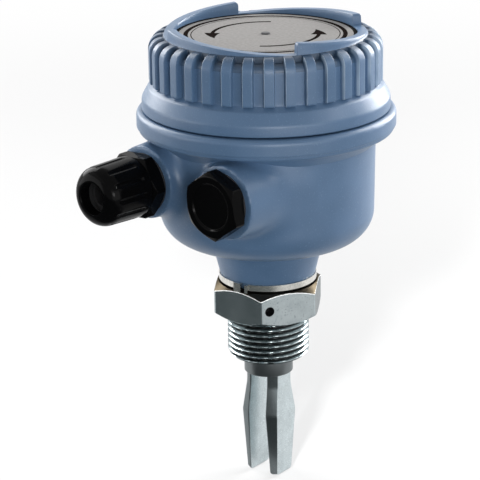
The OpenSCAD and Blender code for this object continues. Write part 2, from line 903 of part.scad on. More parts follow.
module cassette_base() {
    color(cassette_grey)
        translate([0, 0, cassette_z])
            difference() {
                flatted_disc(cassette_inner_r - seat_gap, cassette_inner_flat - seat_gap, base_thickness);
                translate([0, 0, -overlap])
                    cylinder(r = base_hole_r, h = base_thickness + 2 * overlap);
            }
}

// Slotted screw standing on the plane z = 0
module slotted_screw(head_r, head, shank_r, shank) {
    difference() {
        cylinder(r = head_r, h = head);
        translate([-head_r - overlap, -screw_slot / 2, head - screw_slot])
            cube([2 * (head_r + overlap), screw_slot, screw_slot + overlap]);
    }
    translate([0, 0, -shank])
        cylinder(r = shank_r, h = shank + eps);
}

module cassette_screws() {
    color(stainless)
        at_posts()
            translate([0, 0, cassette_top_z])
                slotted_screw(screw_head_r, screw_head, screw_shank_r, screw_length);
}

module circuit_board() {
    color(board_green)
        translate([0, 0, board_z])
            flatted_disc(cassette_inner_r - seat_gap, cassette_inner_flat - seat_gap, board_thickness);
}

module output_relay() {
    color(relay_orange)
        translate([-relay_size[0] / 2, relay_y - relay_size[1] / 2, board_top_z])
            cube(relay_size);
}

module status_led() {
    color(led_red)
        translate([0, 0, cassette_top_z])
            rotate_extrude() {
                ring_section(0, led_flange_r, 0, led_flange);
                ring_section(0, led_r, 0, led_height - led_r);
                intersection() {
                    translate([0, led_height - led_r])
                        circle(r = led_r);
                    square([led_r, led_height]);
                }
            }
}

// Light guide: a cupped foot over the diode and a rod up to the lens
module light_guide() {
    color(clear_acrylic)
        translate([0, 0, cassette_top_z])
            difference() {
                union() {
                    cylinder(r = guide_foot_r, h = guide_foot);
                    cylinder(r = guide_r, h = guide_top_z - cassette_top_z);
                }
                translate([0, 0, -overlap])
                    cylinder(r = led_flange_r + soft_gap, h = led_height + soft_gap + overlap);
            }
}

module terminal_block() {
    color(terminal_green)
        difference() {
            translate([-terminal_length / 2, terminal_y, cassette_top_z])
                cube([terminal_length, terminal_depth, terminal_height]);
            at_terminals() {
                translate([-terminal_mouth[0] / 2, -terminal_depth / 2 - overlap, cassette_top_z + terminal_mouth_z])
                    cube([terminal_mouth[0], terminal_mouth[1] + overlap, terminal_mouth[2]]);
                translate([0, 0, cassette_top_z + terminal_mouth_z])
                    cylinder(r = terminal_screw_hole_r, h = terminal_height);
            }
        }
}

module wire_clamps() {
    color(brass)
        at_terminals()
            translate([-clamp_size[0] / 2, -terminal_depth / 2 + clamp_setback, cassette_top_z + terminal_mouth_z])
                cube(clamp_size);
}

module terminal_screws() {
    screw_z = cassette_top_z + terminal_mouth_z + clamp_size[2] + terminal_shank;
    color(stainless)
        at_terminals()
            translate([0, 0, screw_z])
                slotted_screw(terminal_head_r, terminal_head, terminal_shank_r, terminal_shank);
}

// Rotary selector: knob with a pointed grip on a stem in the cassette's top
module mode_selector() {
    color(selector_white)
        translate([selector_place[0], selector_place[1], cassette_top_z + soft_gap])
            union() {
                cylinder(r = selector_r, h = selector_height / 2);
                translate([0, 0, -cassette_flange])
                    cylinder(r = selector_stem_r, h = cassette_flange + eps);
                translate([-selector_grip, -selector_grip_half, 0])
                    cube([2 * selector_grip, 2 * selector_grip_half, selector_height]);
            }
}

housing();
lid();
lid_label();
indicator_lens();
lid_o_ring();
gland_body();
gland_washer();
gland_seal();
gland_slip_ring();
gland_dome_nut();
blanking_plug();
plug_washer();
retaining_ring();
neck_o_ring();
process_connection();
fork();
lower_insulator();
drive_crystal();
drive_electrode();
pickup_crystal();
pickup_electrode();
upper_insulator();
stack_nut();
sensor_leads();
electronics_cassette();
cassette_base();
cassette_screws();
circuit_board();
output_relay();
status_led();
light_guide();
terminal_block();
wire_clamps();
terminal_screws();
mode_selector();
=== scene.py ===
import math

import bmesh
import bpy
import numpy as np
from mathutils import Matrix, Vector


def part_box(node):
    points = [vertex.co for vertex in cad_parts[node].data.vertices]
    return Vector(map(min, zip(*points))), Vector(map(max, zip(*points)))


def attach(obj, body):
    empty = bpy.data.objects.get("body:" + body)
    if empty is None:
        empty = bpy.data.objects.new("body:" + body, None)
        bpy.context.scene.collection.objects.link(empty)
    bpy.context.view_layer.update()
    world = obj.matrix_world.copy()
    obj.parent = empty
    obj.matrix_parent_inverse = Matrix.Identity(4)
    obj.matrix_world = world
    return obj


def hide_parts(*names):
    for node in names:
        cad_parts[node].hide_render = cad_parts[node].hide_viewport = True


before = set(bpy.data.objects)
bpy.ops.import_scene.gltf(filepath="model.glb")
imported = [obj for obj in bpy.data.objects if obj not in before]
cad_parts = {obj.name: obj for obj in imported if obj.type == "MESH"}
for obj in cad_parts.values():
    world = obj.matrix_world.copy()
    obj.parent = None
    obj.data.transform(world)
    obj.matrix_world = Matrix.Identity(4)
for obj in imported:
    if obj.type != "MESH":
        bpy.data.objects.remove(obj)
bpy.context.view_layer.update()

# Camera: a long lens that looks down on the lid, turned to see both conduit entries from their right.
# Place and lens follow the photograph, with the part's axis a little right of the frame's middle.
MM = 0.001
VIEW_AZIMUTH = math.radians(42)
VIEW_PITCH = math.radians(18.5)
VIEW_YAW = math.radians(0.756)
VIEW_ROLL = math.radians(-0.8)
VIEW_DISTANCE = 842.5 * MM
VIEW_HEIGHT = 311.7 * MM
VIEW_LENS = 164.55
VIEW_SENSOR = 36
NEAR_CLIP = 10 * MM
toward_camera = Vector((math.sin(VIEW_AZIMUTH), -math.cos(VIEW_AZIMUTH), 0))
lens_data = bpy.data.cameras.new("photo_camera")
lens_data.lens = VIEW_LENS
lens_data.sensor_width = VIEW_SENSOR
lens_data.clip_start = NEAR_CLIP
camera = bpy.data.objects.new("photo_camera", lens_data)
camera.matrix_world = (
    Matrix.Translation(toward_camera * VIEW_DISTANCE + Vector((0, 0, VIEW_HEIGHT)))
    @ Matrix.Rotation(VIEW_AZIMUTH + VIEW_YAW, 4, "Z")
    @ Matrix.Rotation(math.pi / 2 - VIEW_PITCH, 4, "X")
    @ Matrix.Rotation(VIEW_ROLL, 4, "Z")
)
bpy.context.collection.objects.link(camera)
bpy.context.scene.camera = camera


# Fork: a ring with two tines, forged in one piece of stainless steel and bead-blasted.
# Each tine is a blade that widens to a waist and tapers to its tip. The ring is welded to the shank.
class Socket:
    """An output of a node in one material. Arithmetic on it adds Math nodes."""

    def __init__(self, tree, output=None):
        self.tree = tree
        self.output = output

    def node(self, kind, settings=None, inputs=None, output=0):
        """Adds a node: its settings first, then the values or links of its sockets."""
        made = self.tree.nodes.new(kind)
        for key, value in (settings or {}).items():
            setattr(made, key, value)
        for key, value in (inputs or {}).items():
            self.feed(made.inputs[key], value)
        return Socket(self.tree, made.outputs[output]) if made.outputs else None

    def feed(self, entry, value):
        """Sets a socket to a value, or links it to another node's output."""
        if isinstance(value, Socket):
            self.tree.links.new(value.output, entry)
        elif isinstance(value, tuple) and len(value) == 3 and entry.type == "RGBA":
            entry.default_value = (*value, 1)
        else:
            entry.default_value = value

    def math(self, operation, *values):
        return self.node("ShaderNodeMath", {"operation": operation}, dict(enumerate(values)))

    def __add__(self, other):
        return self.math("ADD", self, other)

    __radd__ = __add__

    def __sub__(self, other):
        return self.math("SUBTRACT", self, other)

    def __rsub__(self, other):
        return self.math("SUBTRACT", other, self)

    def __mul__(self, other):
        return self.math("MULTIPLY", self, other)

    __rmul__ = __mul__

    def __truediv__(self, other):
        return self.math("DIVIDE", self, other)

    def __rtruediv__(self, other):
        return self.math("DIVIDE", other, self)

    def __pow__(self, other):
        return self.math("POWER", self, other)

    def __rpow__(self, other):
        return self.math("POWER", other, self)

    def __gt__(self, other):
        return self.math("GREATER_THAN", self, other)

    def __lt__(self, other):
        return self.math("LESS_THAN", self, other)

    def __abs__(self):
        return self.math("ABSOLUTE", self)

    def ramp(self, low, high):
        """0 below low and 1 above high, smooth between them."""
        return self.node("ShaderNodeMapRange", {"interpolation_type": "SMOOTHSTEP"},
                         {"Value": self, "From Min": low, "From Max": high})

    def mix(self, first, second):
        """A colour that goes from first to second as this value goes from 0 to 1."""
        return self.node("ShaderNodeMix", {"data_type": "RGBA"}, {0: self, 6: first, 7: second}, 2)


def finish(name, **constants):
    """A material with one Principled shader, and the root that its nodes are made from."""
    made = bpy.data.materials.new(name)
    made.use_nodes = True
    shader = made.node_tree.nodes["Principled BSDF"]
    for key, value in constants.items():
        shader.inputs[key.replace("_", " ")].default_value = value
    return made, shader, Socket(made.node_tree)


def place(root):
    """Coordinates on the part, in millimetres."""
    spot = root.node("ShaderNodeTexCoord", output=3)
    return root.node("ShaderNodeVectorMath", {"operation": "SCALE"}, {0: spot, "Scale": 1 / MM})


def coordinate(root, where, axis):
    """One coordinate of a place: 0 for x, 1 for y, 2 for z."""
    return root.node("ShaderNodeSeparateXYZ", None, {0: where}, axis)


def dot(root, first, second):
    """How far one vector reaches along another."""
    return root.node("ShaderNodeVectorMath", {"operation": "DOT_PRODUCT"}, {0: first, 1: second}, 1)


def noise(root, where, per_mm, detail=2.0, roughness=0.5):
    """A cloudy value from 0 to 1 with about that many lumps in a millimetre."""
    return root.node("ShaderNodeTexNoise", None,
                     {"Vector": where, "Scale": per_mm, "Detail": detail, "Roughness": roughness})


def bump(root, height, depth, strength=1.0):
    """A normal from a height of 0 to 1 that stands for that depth in millimetres."""
    return root.node("ShaderNodeBump", None,
                     {"Height": height, "Distance": depth * MM, "Strength": strength})


def ring_faces(rows, columns, loop=False, first=0):
    """Quads of a grid whose columns wrap round. With loop, its last row joins its first."""
    row = np.arange(rows if loop else rows - 1)[:, None]
    column = np.arange(columns)[None, :]
    after = (column + 1) % columns
    below = (row + 1) % rows * columns
    corners = [row * columns + column, row * columns + after, below + after, below + column]
    return (first + np.stack(corners, -1).reshape(-1, 4)).tolist()


def piece(name, points, faces, look, body, replaced=(), sharp=35.0):
    """A mesh from points in millimetres that rides on a body of the frame."""
    mesh = bpy.data.meshes.new(name)
    mesh.from_pydata((np.asarray(points, float) * MM).tolist(), [], faces)
    whole = bmesh.new()
    whole.from_mesh(mesh)
    bmesh.ops.recalc_face_normals(whole, faces=whole.faces)
    whole.to_mesh(mesh)
    whole.free()
    mesh.materials.append(look)
    mesh.shade_smooth()
    mesh.set_sharp_from_angle(angle=math.radians(sharp))
    made = bpy.data.objects.new(name, mesh)
    bpy.context.collection.objects.link(made)
    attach(made, body)
    if replaced:
        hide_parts(*replaced)
    return made


def filleted(corners, steps=5, closed=False):
    """A line through corners of the form (x, y, fillet), with an arc at each fillet."""
    spots = [np.array(corner[:2], float) for corner in corners]
    line = []
    for i, corner in enumerate(corners):
        fillet = corner[2] if len(corner) > 2 else 0
        end = not closed and i in (0, len(corners) - 1)
        if fillet == 0 or end:
            line.append(spots[i])
            continue
        back = spots[i - 1] - spots[i]
        ahead = spots[(i + 1) % len(spots)] - spots[i]
        back /= np.linalg.norm(back)
        ahead /= np.linalg.norm(ahead)
        half = math.acos(np.clip(back @ ahead, -1, 1)) / 2
        middle = (back + ahead) / np.linalg.norm(back + ahead)
        centre = spots[i] + middle * fillet / math.sin(half)
        start = spots[i] + back * fillet / math.tan(half) - centre
        stop = spots[i] + ahead * fillet / math.tan(half) - centre
        sweep = math.pi - 2 * half
        for share in np.linspace(0, 1, steps + 1):
            arc = math.sin((1 - share) * sweep) * start + math.sin(share * sweep) * stop
            line.append(centre + arc / math.sin(sweep))
    return np.array(line)


def turned(line, columns):
    """A round grid from a line of (radius, height) points, as rows by columns by 3."""
    angle = np.linspace(0, 2 * np.pi, columns, endpoint=False)
    line = np.asarray(line)
    flat = line[:, :1, None] * np.stack([np.cos(angle), np.sin(angle)], -1)[None]
    return np.concatenate([flat, np.broadcast_to(line[:, 1:2, None], (*flat.shape[:2], 1))], -1)


SENSOR_TURN = math.radians(5)
ring_low, ring_high = (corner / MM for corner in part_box("fork"))
shank_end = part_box("process_connection")[0].z / MM
FORK_RING_R = 10.0
FORK_RING_HEIGHT = 7.7
FORK_SPIGOT_R = 8.2
fork_base = shank_end - FORK_RING_HEIGHT
tip_z = ring_low.z
TINE_LEVELS = (1.0, -5.5, -17.7, tip_z - fork_base)
INNER_HALF_WIDTH = (7.2, 7.3, 8.6, 6.5)
OUTER_HALF_WIDTH = (4.3, 4.4, 6.4, 4.8)
INNER_FACE = (4.0, 4.0, 4.2, 4.8)
OUTER_FACE = (7.9, 7.95, 8.9, 7.7)
TINE_EDGE = 0.45
TINE_TIP_ROUND = 1.4
CREASE_SOFTNESS = 0.7
BLADE_ROWS = 70
TIP_ROWS = 8
TIP_SLANT = 0.35
RING_COLUMNS = 128
RING_EDGES = (0.3, 0.4)
HUB_R = 0.01
BLASTED_TONES = ((0.42, 0.475, 0.49), (0.66, 0.73, 0.75))
BLASTED_SPECK = (0.76, 0.82, 0.83)
SIDE_FACE_SHADE = (0.08, 0.094, 0.098)
SIDE_FACE_SHADE_SHARE = 0.88
RING_TONE = (0.16, 0.175, 0.18)

blasted_steel, shader, root = finish("blasted_steel", Metallic=1.0, Specular_Tint=(0.85, 0.87, 0.88, 1))
where = place(root)
grain = noise(root, where, 3.2, 2.0, 0.7)
cloud = noise(root, where, 0.25, 2.0)
speck = noise(root, where, 1.9, 1.0).ramp(0.62, 0.74)
tone = (grain * 0.75 + cloud * 0.25).ramp(0.3, 0.7)
tone = tone.mix(*BLASTED_TONES)
tone = speck.mix(tone, BLASTED_SPECK)
# Painted shade: the narrow side faces of both tines are darkened almost to black, though the steel has one
# finish all over.
facing = root.node("ShaderNodeTexCoord", output=1)
sideways = (-math.sin(SENSOR_TURN), math.cos(SENSOR_TURN), 0)
shaded_side_face = abs(dot(root, facing, sideways))
tone = (shaded_side_face.ramp(0.55, 0.72) * SIDE_FACE_SHADE_SHARE).mix(tone, SIDE_FACE_SHADE)
ring_part = coordinate(root, where, 2) > fork_base + 0.1
root.feed(shader.inputs["Base Color"], ring_part.mix(tone, RING_TONE))
root.feed(shader.inputs["Roughness"], 0.25 + grain * 0.12)
root.feed(shader.inputs["Normal"], bump(root, grain + speck * 0.5, 0.04, 0.5))


def along_tine(values, levels):
    """Values between the tine's levels, with each crease rounded a little."""
    reach = np.linspace(-CREASE_SOFTNESS, CREASE_SOFTNESS, 7)
    order = slice(None, None, -1)
    spread = [np.interp(levels + shift, TINE_LEVELS[order], values[order]) for shift in reach]
    return np.mean(spread, 0)


tip_start = TINE_LEVELS[-1] + TINE_TIP_ROUND
tip_levels = TINE_LEVELS[-1] + TINE_TIP_ROUND * (1 - np.sin(np.linspace(0, np.pi / 2, TIP_ROWS)))
levels = np.concatenate([np.linspace(TINE_LEVELS[0], tip_start, BLADE_ROWS, endpoint=False), tip_levels])
to_tip = np.clip((tip_start - levels) / TINE_TIP_ROUND, 0, 1)
tip_draw = TINE_TIP_ROUND * (1 - np.sqrt(1 - to_tip**2))
inner_half = along_tine(INNER_HALF_WIDTH, levels) - tip_draw
outer_half = along_tine(OUTER_HALF_WIDTH, levels) - tip_draw
inner_x = along_tine(INNER_FACE, levels) + tip_draw * TIP_SLANT
outer_x = along_tine(OUTER_FACE, levels) - tip_draw * TIP_SLANT
sections = []
for level, near, far, wide, narrow in zip(levels, inner_x, outer_x, inner_half, outer_half):
    outline = filleted([(near, -wide, TINE_EDGE), (far, -narrow, TINE_EDGE),
                        (far, narrow, TINE_EDGE), (near, wide, TINE_EDGE)], 4, True)
    sections.append(np.column_stack([outline, np.full(len(outline), fork_base + level)]))
tine = np.array(sections)
around = tine.shape[1]
fork_line = filleted([(FORK_SPIGOT_R, ring_high.z), (FORK_SPIGOT_R, shank_end),
                      (FORK_RING_R, shank_end, RING_EDGES[0]), (FORK_RING_R, fork_base, RING_EDGES[1]),
                      (HUB_R, fork_base)])
ring_grid = turned(fork_line, RING_COLUMNS)
points = [ring_grid.reshape(-1, 3)]
faces = ring_faces(*ring_grid.shape[:2])
count = len(points[0])
for turn in (SENSOR_TURN, SENSOR_TURN + math.pi):
    blade = tine.reshape(-1, 3) @ np.array(Matrix.Rotation(turn, 3, "Z")).T
    points.append(blade)
    faces += ring_faces(len(levels), around, first=count)
    faces.append([count + len(blade) - around + i for i in range(around)])
    faces.append([count + i for i in range(around)])
    count += len(blade)
piece("fork_blades", np.concatenate(points), faces, blasted_steel, "housing", ["fork"], 30)


# Process connection: a stainless hexagon, milled from bar, with a parallel pipe thread cut below it
# and a smooth spigot above it that holds the housing's neck. One flat has a blind tag hole.
HEX_FLATS = 41.0
HEX_HEIGHT = 13.5
HEX_CHAMFER = math.tan(math.radians(32))
HEX_TOP_R = 20.2
HEX_BOTTOM_R = 20.4
THREAD_R = 16.62
THREAD_PITCH = 2.309
THREAD_DEPTH = 1.45
THREAD_RELIEF = 0.9
THREAD_CHAMFER = 1.6
THREAD_FLANK = 1.3
THREAD_CREST = 0.15
THREAD_ROUND = 0.35
CHAMFER_MARGIN = 0.3
SPIGOT_CLEARANCE = 0.05
SPIGOT_R = 14.9
SENSOR_BORE_R = 6.5
NECK_SEAL_GROOVE = (12.9, 1.1)
TAG_HOLE_R = 2.0
TAG_HOLE_DEPTH = 5.0
TAG_HOLE_OFFSET = 8.0
TAG_HOLE_SIDES = 48
SPIGOT_EDGE = 0.4
SPIGOT_ROOT = 0.3
HEX_BLUNT = 0.15
COLUMNS = 360
THREAD_ROWS = 170
CHAMFER_ROWS = 18
FLAT_ROWS = 14
SHARP_ANGLE = 28
STEEL_TONES = ((0.44, 0.50, 0.515), (0.57, 0.63, 0.645))
PIT_TONE = (0.24, 0.28, 0.29)
ROOT_GRIME_AND_SHADE_TONE = (0.035, 0.038, 0.038)
HEX_TOP_PAINTED_DARK = (0.085, 0.07, 0.05)
EDGE_HIGHLIGHT_TONE = (0.90, 0.92, 0.92)
EDGE_INSET = 0.22
EDGE_HALF = 0.16
BORE_SHADE_TONES = ((0.006, 0.006, 0.007), (0.03, 0.03, 0.032))
spigot_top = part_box("process_connection")[1].z / MM
seal_z = (spigot_top + HEX_HEIGHT) / 2

turned_steel, shader, root = finish("turned_steel", Metallic=1.0, Specular_Tint=(0.4, 0.42, 0.43, 1))
where = place(root)
line_place = root.node("ShaderNodeVectorMath", {"operation": "MULTIPLY"}, {0: where, 1: (0.12, 0.12, 6.0)})
tool_lines = noise(root, line_place, 1.0, 3.0, 0.6)
pores = noise(root, where, 3.2, 3.0, 0.65)
stain = noise(root, where, 0.16, 3.0)
from_axis = root.node("ShaderNodeVectorMath", {"operation": "MULTIPLY"}, {0: where, 1: (1, 1, 0)})
from_axis = root.node("ShaderNodeVectorMath", {"operation": "LENGTH"}, {0: from_axis}, 1)
level = coordinate(root, where, 2)
tone = (stain * 0.6 + pores * 0.4).ramp(0.32, 0.68).mix(*STEEL_TONES)
pits = noise(root, where, 1.3, 2.0).ramp(0.58, 0.72)
tone = (pits * 0.6).mix(tone, PIT_TONE)
# The thread's roots are darkened almost to black: a little grime, and painted shade in the roots.
root_grime_and_shade = (1 - from_axis.ramp(THREAD_R - THREAD_DEPTH, THREAD_R - 0.4)) * (level < -0.2)
# Painted dark reflection: the hexagon's top face and chamfer get a dark brown tone on the bright steel.
over_chamfer = level + from_axis * HEX_CHAMFER - (HEX_HEIGHT + HEX_TOP_R * HEX_CHAMFER)
painted_dark_top = (level > HEX_HEIGHT - 0.05) * (from_axis > SPIGOT_R) + (over_chamfer > -0.06)
painted_dark_top = painted_dark_top.ramp(0.2, 0.8)
# Painted highlight: a thin pale line where the chamfer meets the flats, with a duller gloss there.
edge_highlight = (abs(over_chamfer + EDGE_INSET) < EDGE_HALF) * (from_axis > HEX_TOP_R)
tone = (root_grime_and_shade * 0.95).mix(tone, ROOT_GRIME_AND_SHADE_TONE)
tone = painted_dark_top.mix(tone, HEX_TOP_PAINTED_DARK)
root.feed(shader.inputs["Base Color"], edge_highlight.mix(tone, EDGE_HIGHLIGHT_TONE))
rough = 0.10 + pores * 0.07 + stain * 0.05
root.feed(shader.inputs["Roughness"], rough + painted_dark_top * 0.15 + edge_highlight * 0.35)
root.feed(shader.inputs["Normal"], bump(root, tool_lines * 0.4 + pores * 0.6, 0.02, 0.4))

angle = np.linspace(0, 2 * np.pi, COLUMNS, endpoint=False)
from_flat = (angle - SENSOR_TURN) % (np.pi / 3) - np.pi / 6
hex_corner_r = HEX_FLATS / 2 / math.cos(math.pi / 6)
hexagon_r = np.minimum(HEX_FLATS / 2 / np.cos(from_flat), hex_corner_r - HEX_BLUNT)
rows = []


def smoothstep(low, high, value):
    """0 below low and 1 above high, smooth between them."""
    share = np.clip((value - low) / (high - low), 0, 1)
    return share * share * (3 - 2 * share)


def add_rows(radius, height):
    """Adds a ring of points: radius and height may be one number or one for each column."""
    rows.append(np.column_stack([radius * np.cos(angle), radius * np.sin(angle),
                                 np.broadcast_to(height, angle.shape)]))


groove_r, groove_half = NECK_SEAL_GROOVE
for radius, height in ((SENSOR_BORE_R, spigot_top), (SPIGOT_R - SPIGOT_EDGE, spigot_top),
                       (SPIGOT_R, spigot_top - SPIGOT_EDGE),
                       (SPIGOT_R, seal_z + groove_half), (groove_r, seal_z + groove_half),
                       (groove_r, seal_z - groove_half), (SPIGOT_R, seal_z - groove_half),
                       (SPIGOT_R, HEX_HEIGHT + SPIGOT_ROOT), (SPIGOT_R + SPIGOT_ROOT, HEX_HEIGHT)):
    add_rows(radius, height)
chamfer_depth = (hex_corner_r - HEX_TOP_R) * HEX_CHAMFER + CHAMFER_MARGIN
falls = np.concatenate([np.linspace(0, chamfer_depth, CHAMFER_ROWS),
                        np.linspace(chamfer_depth, HEX_HEIGHT - chamfer_depth, FLAT_ROWS)[1:-1],
                        np.linspace(HEX_HEIGHT - chamfer_depth, HEX_HEIGHT, CHAMFER_ROWS)])
for fall in falls:
    limit = min(HEX_TOP_R + fall / HEX_CHAMFER, HEX_BOTTOM_R + (HEX_HEIGHT - fall) / HEX_CHAMFER)
    add_rows(np.minimum(hexagon_r, limit), HEX_HEIGHT - fall)
add_rows(THREAD_R + 0.6, 0.0)
add_rows(THREAD_R - THREAD_DEPTH, -0.02)
for height in np.linspace(-THREAD_RELIEF * 0.4, shank_end, THREAD_ROWS):
    phase = (height / THREAD_PITCH - angle / (2 * np.pi)) % 1
    valley = np.clip(np.abs(2 * phase - 1) * THREAD_FLANK - THREAD_CREST, 0, 1)
    valley = (1 - THREAD_ROUND) * valley + THREAD_ROUND * smoothstep(0, 1, valley)
    run_out = smoothstep(-THREAD_RELIEF * 2.2, -THREAD_RELIEF, height)
    radius = THREAD_R - THREAD_DEPTH * np.maximum(valley, run_out)
    add_rows(np.minimum(radius, THREAD_R - THREAD_CHAMFER + (height - shank_end)), height)
fork_hole_r = FORK_SPIGOT_R + SPIGOT_CLEARANCE
for radius, height in ((fork_hole_r, shank_end), (fork_hole_r, ring_high.z), (SENSOR_BORE_R, ring_high.z)):
    add_rows(radius, height)
connection = piece("threaded_connection", np.concatenate(rows), ring_faces(len(rows), COLUMNS, True),
                   turned_steel, "housing", ["process_connection"], SHARP_ANGLE)
drill_mesh = bpy.data.meshes.new("tag_drill")
drill = bmesh.new()
bmesh.ops.create_cone(drill, cap_ends=True, segments=TAG_HOLE_SIDES, radius1=TAG_HOLE_R * MM,
                      radius2=TAG_HOLE_R * MM, depth=2 * TAG_HOLE_DEPTH * MM)
drill.to_mesh(drill_mesh)
drill.free()
# Painted shade: the tag hole's walls take a near-black material that stands for the shade inside the hole.
bore_shade_look, shader, root = finish("painted_shade_bore", Metallic=0.6)
bore_mottle = noise(root, place(root), 2.0, 3.0)
root.feed(shader.inputs["Base Color"], bore_mottle.mix(*BORE_SHADE_TONES))
root.feed(shader.inputs["Roughness"], 0.35 + bore_mottle * 0.2)
drill_mesh.materials.append(bore_shade_look)
tag_drill = bpy.data.objects.new("tag_drill", drill_mesh)
tag_drill.matrix_world = (Matrix.Rotation(SENSOR_TURN - math.pi / 6, 4, "Z")
                          @ Matrix.Translation(Vector((HEX_FLATS / 2, -TAG_HOLE_OFFSET, HEX_HEIGHT / 2)) * MM)
                          @ Matrix.Rotation(math.pi / 2, 4, "Y"))
bpy.context.collection.objects.link(tag_drill)
drilled = connection.modifiers.new("tag_hole", "BOOLEAN")
drilled.object = tag_drill
drilled.operation = "DIFFERENCE"
drilled.solver = "EXACT"
drilled.material_mode = "TRANSFER"
bpy.context.view_layer.update()
bored = bpy.data.meshes.new_from_object(connection.evaluated_get(bpy.context.evaluated_depsgraph_get()))
connection.modifiers.clear()
connection.data = bored
bpy.data.objects.remove(tag_drill)
bored.shade_smooth()
bored.set_sharp_from_angle(angle=math.radians(SHARP_ANGLE))


# Piezo stack, leads, electronics and terminals: bought-in parts inside the housing and the shank.
# They keep the frame's own solids, each with the finish of its real material.
def moulded(name, colour, rough, lumps=1.2, depth=0.02, **constants):
    """Plain moulded or pressed stuff: a faint mottle, and a fine grain in the gloss."""
    made, shader, root = finish(name, **constants)
    where = place(root)
    mottle = noise(root, where, lumps, 3.0)
    fine = noise(root, where, lumps * 6, 2.0)
    dark = tuple(0.86 * value for value in colour)
    light = tuple(min(1.0, 1.10 * value) for value in colour)
    root.feed(shader.inputs["Base Color"], mottle.ramp(0.3, 0.7).mix(dark, light))
    root.feed(shader.inputs["Roughness"], rough - 0.06 + fine * 0.12)
    root.feed(shader.inputs["Normal"], bump(root, fine, depth, 0.5))
    return made


def dress(look, *names):
    """Gives solids of the frame their finish."""
    for name in names:
        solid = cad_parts[name].data
        solid.materials.clear()
        solid.materials.append(look)


dress(moulded("white_ceramic", (0.80, 0.77, 0.70), 0.55), "lower_insulator", "upper_insulator")
dress(moulded("piezo_ceramic", (0.39, 0.30, 0.17), 0.5, 3.0), "drive_crystal", "pickup_crystal")
dress(moulded("stamped_brass", (0.62, 0.42, 0.10), 0.3, 0.8, 0.01, Metallic=1.0),
      "drive_electrode", "pickup_electrode", "wire_clamps")
dress(moulded("red_sleeve", (0.35, 0.02, 0.015), 0.45), "sensor_leads")
dress(moulded("case_plastic", (0.05, 0.054, 0.06), 0.5, 2.0), "electronics_cassette", "cassette_base")
dress(moulded("lacquered_board", (0.02, 0.11, 0.035), 0.3, 0.5), "circuit_board")
dress(moulded("terminal_plastic", (0.035, 0.14, 0.07), 0.45), "terminal_block")
dress(moulded("relay_plastic", (0.68, 0.17, 0.015), 0.35), "output_relay")
dress(moulded("red_diode", (0.50, 0.012, 0.010), 0.15), "status_led")
dress(moulded("white_plastic", (0.79, 0.79, 0.75), 0.4), "mode_selector")
dress(moulded("clear_guide", (0.80, 0.88, 0.90), 0.12, 0.5, 0.005, Transmission_Weight=0.9), "light_guide")
dress(moulded("seal_rubber", (0.016, 0.016, 0.017), 0.62, 2.0, 0.04),
      "lid_o_ring", "neck_o_ring", "gland_washer", "plug_washer", "gland_seal", "gland_slip_ring")
dress(moulded("small_steel", (0.60, 0.62, 0.63), 0.28, 1.5, 0.015, Metallic=1.0),
      "stack_nut", "cassette_screws", "terminal_screws")


# Housing: a bowl of glass-filled nylon, moulded in one shot with its neck, rim, threaded collar and
# two conduit bosses. Soft fillets run the bosses and the neck into the bowl; the skin has a fine grain.
neck_end, collar_top = (corner.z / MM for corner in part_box("housing"))
rim_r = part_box("housing")[1].x / MM
NECK_END_R = 19.4
NECK_TOP_R = 23.0
NECK_BORE_R = 15.0
BAND_SEAT_R = 18.7
BAND_HEIGHT = 2.5
BODY_Z = 31.7
BODY_R = 43.6
BODY_DRAFT = 0.7
BOTTOM_ROUND = 12.5
BOWL_STOP = 1.0
FLOOR_THICKNESS = 6.0
RIM_Z = 79.3
RIM_HEIGHT = 6.6
RIM_ROUND = 2.2
LEDGE_STEP = 0.7
LEDGE_HEIGHT = 1.9
RING_FOOT = 5.0
CAVITY_R = 38.2
COLLAR_R = 40.6
COLLAR_THREAD = (4.0, 0.75)
COLLAR_CREST = 1.4
COLLAR_FLANK = 3.0
BOSS_FACE = 48.4
CONDUIT_X = 20.95
CONDUIT_Z = 61.3
CONDUIT_R = 9.25
BOSS_R = 14.5
BOSS_DRAFT = 2.0
BOSS_LENGTH = 32.4
BOSS_EDGE = 0.6
BOSS_FILLET = 6.0
NECK_FILLET = 3.0
NECK_OVERLAP = 3.0
SEAT_HEIGHT = 6.0
SEAT_EDGE = 0.4
BORE_STOP = 50.0
CONDUIT_END = -12.0
RIM_BORE_R = CAVITY_R + 0.1
RIM_COLUMNS = 240
RIM_STEP = 0.6
THREAD_LEAD_IN = (3.0, 5.0)
THREAD_LEAD_OUT = (2.2, 0.8)
VOXEL = 0.92
NYLON_TONES = ((0.074, 0.138, 0.240), (0.090, 0.162, 0.276))
NYLON_PIT = (0.102, 0.177, 0.290)
NYLON_PAINTED_SHADE = (0.024, 0.049, 0.088)
NYLON_PAINTED_HIGHLIGHT = (0.36, 0.46, 0.58)


def nylon(name, painted_highlight=None, painted_shade=None):
    """Blue glass-filled nylon: grained skin and faint flow marks, with a painted highlight and painted shade
    where masks are given.
    """
    made, shader, root = finish(name, Specular_IOR_Level=0.45)
    where = place(root)
    skin = noise(root, where, 2.4, 3.0, 0.6)
    flow = noise(root, where, 0.06, 2.0)
    pit = noise(root, where, 1.5, 1.0).ramp(0.62, 0.74)
    tone = (flow * 0.7 + skin * 0.3).ramp(0.3, 0.7).mix(*NYLON_TONES)
    tone = pit.mix(tone, NYLON_PIT)
    if painted_shade:
        tone = painted_shade(root, where).mix(tone, NYLON_PAINTED_SHADE)
    if painted_highlight:
        tone = (painted_highlight(root, where) * flow.ramp(0.25, 0.6)).mix(tone, NYLON_PAINTED_HIGHLIGHT)
    root.feed(shader.inputs["Base Color"], tone)
    root.feed(shader.inputs["Roughness"], 0.29 + skin * 0.16)
    root.feed(shader.inputs["Normal"], bump(root, skin + pit * 0.4, 0.06, 0.5))
    return made


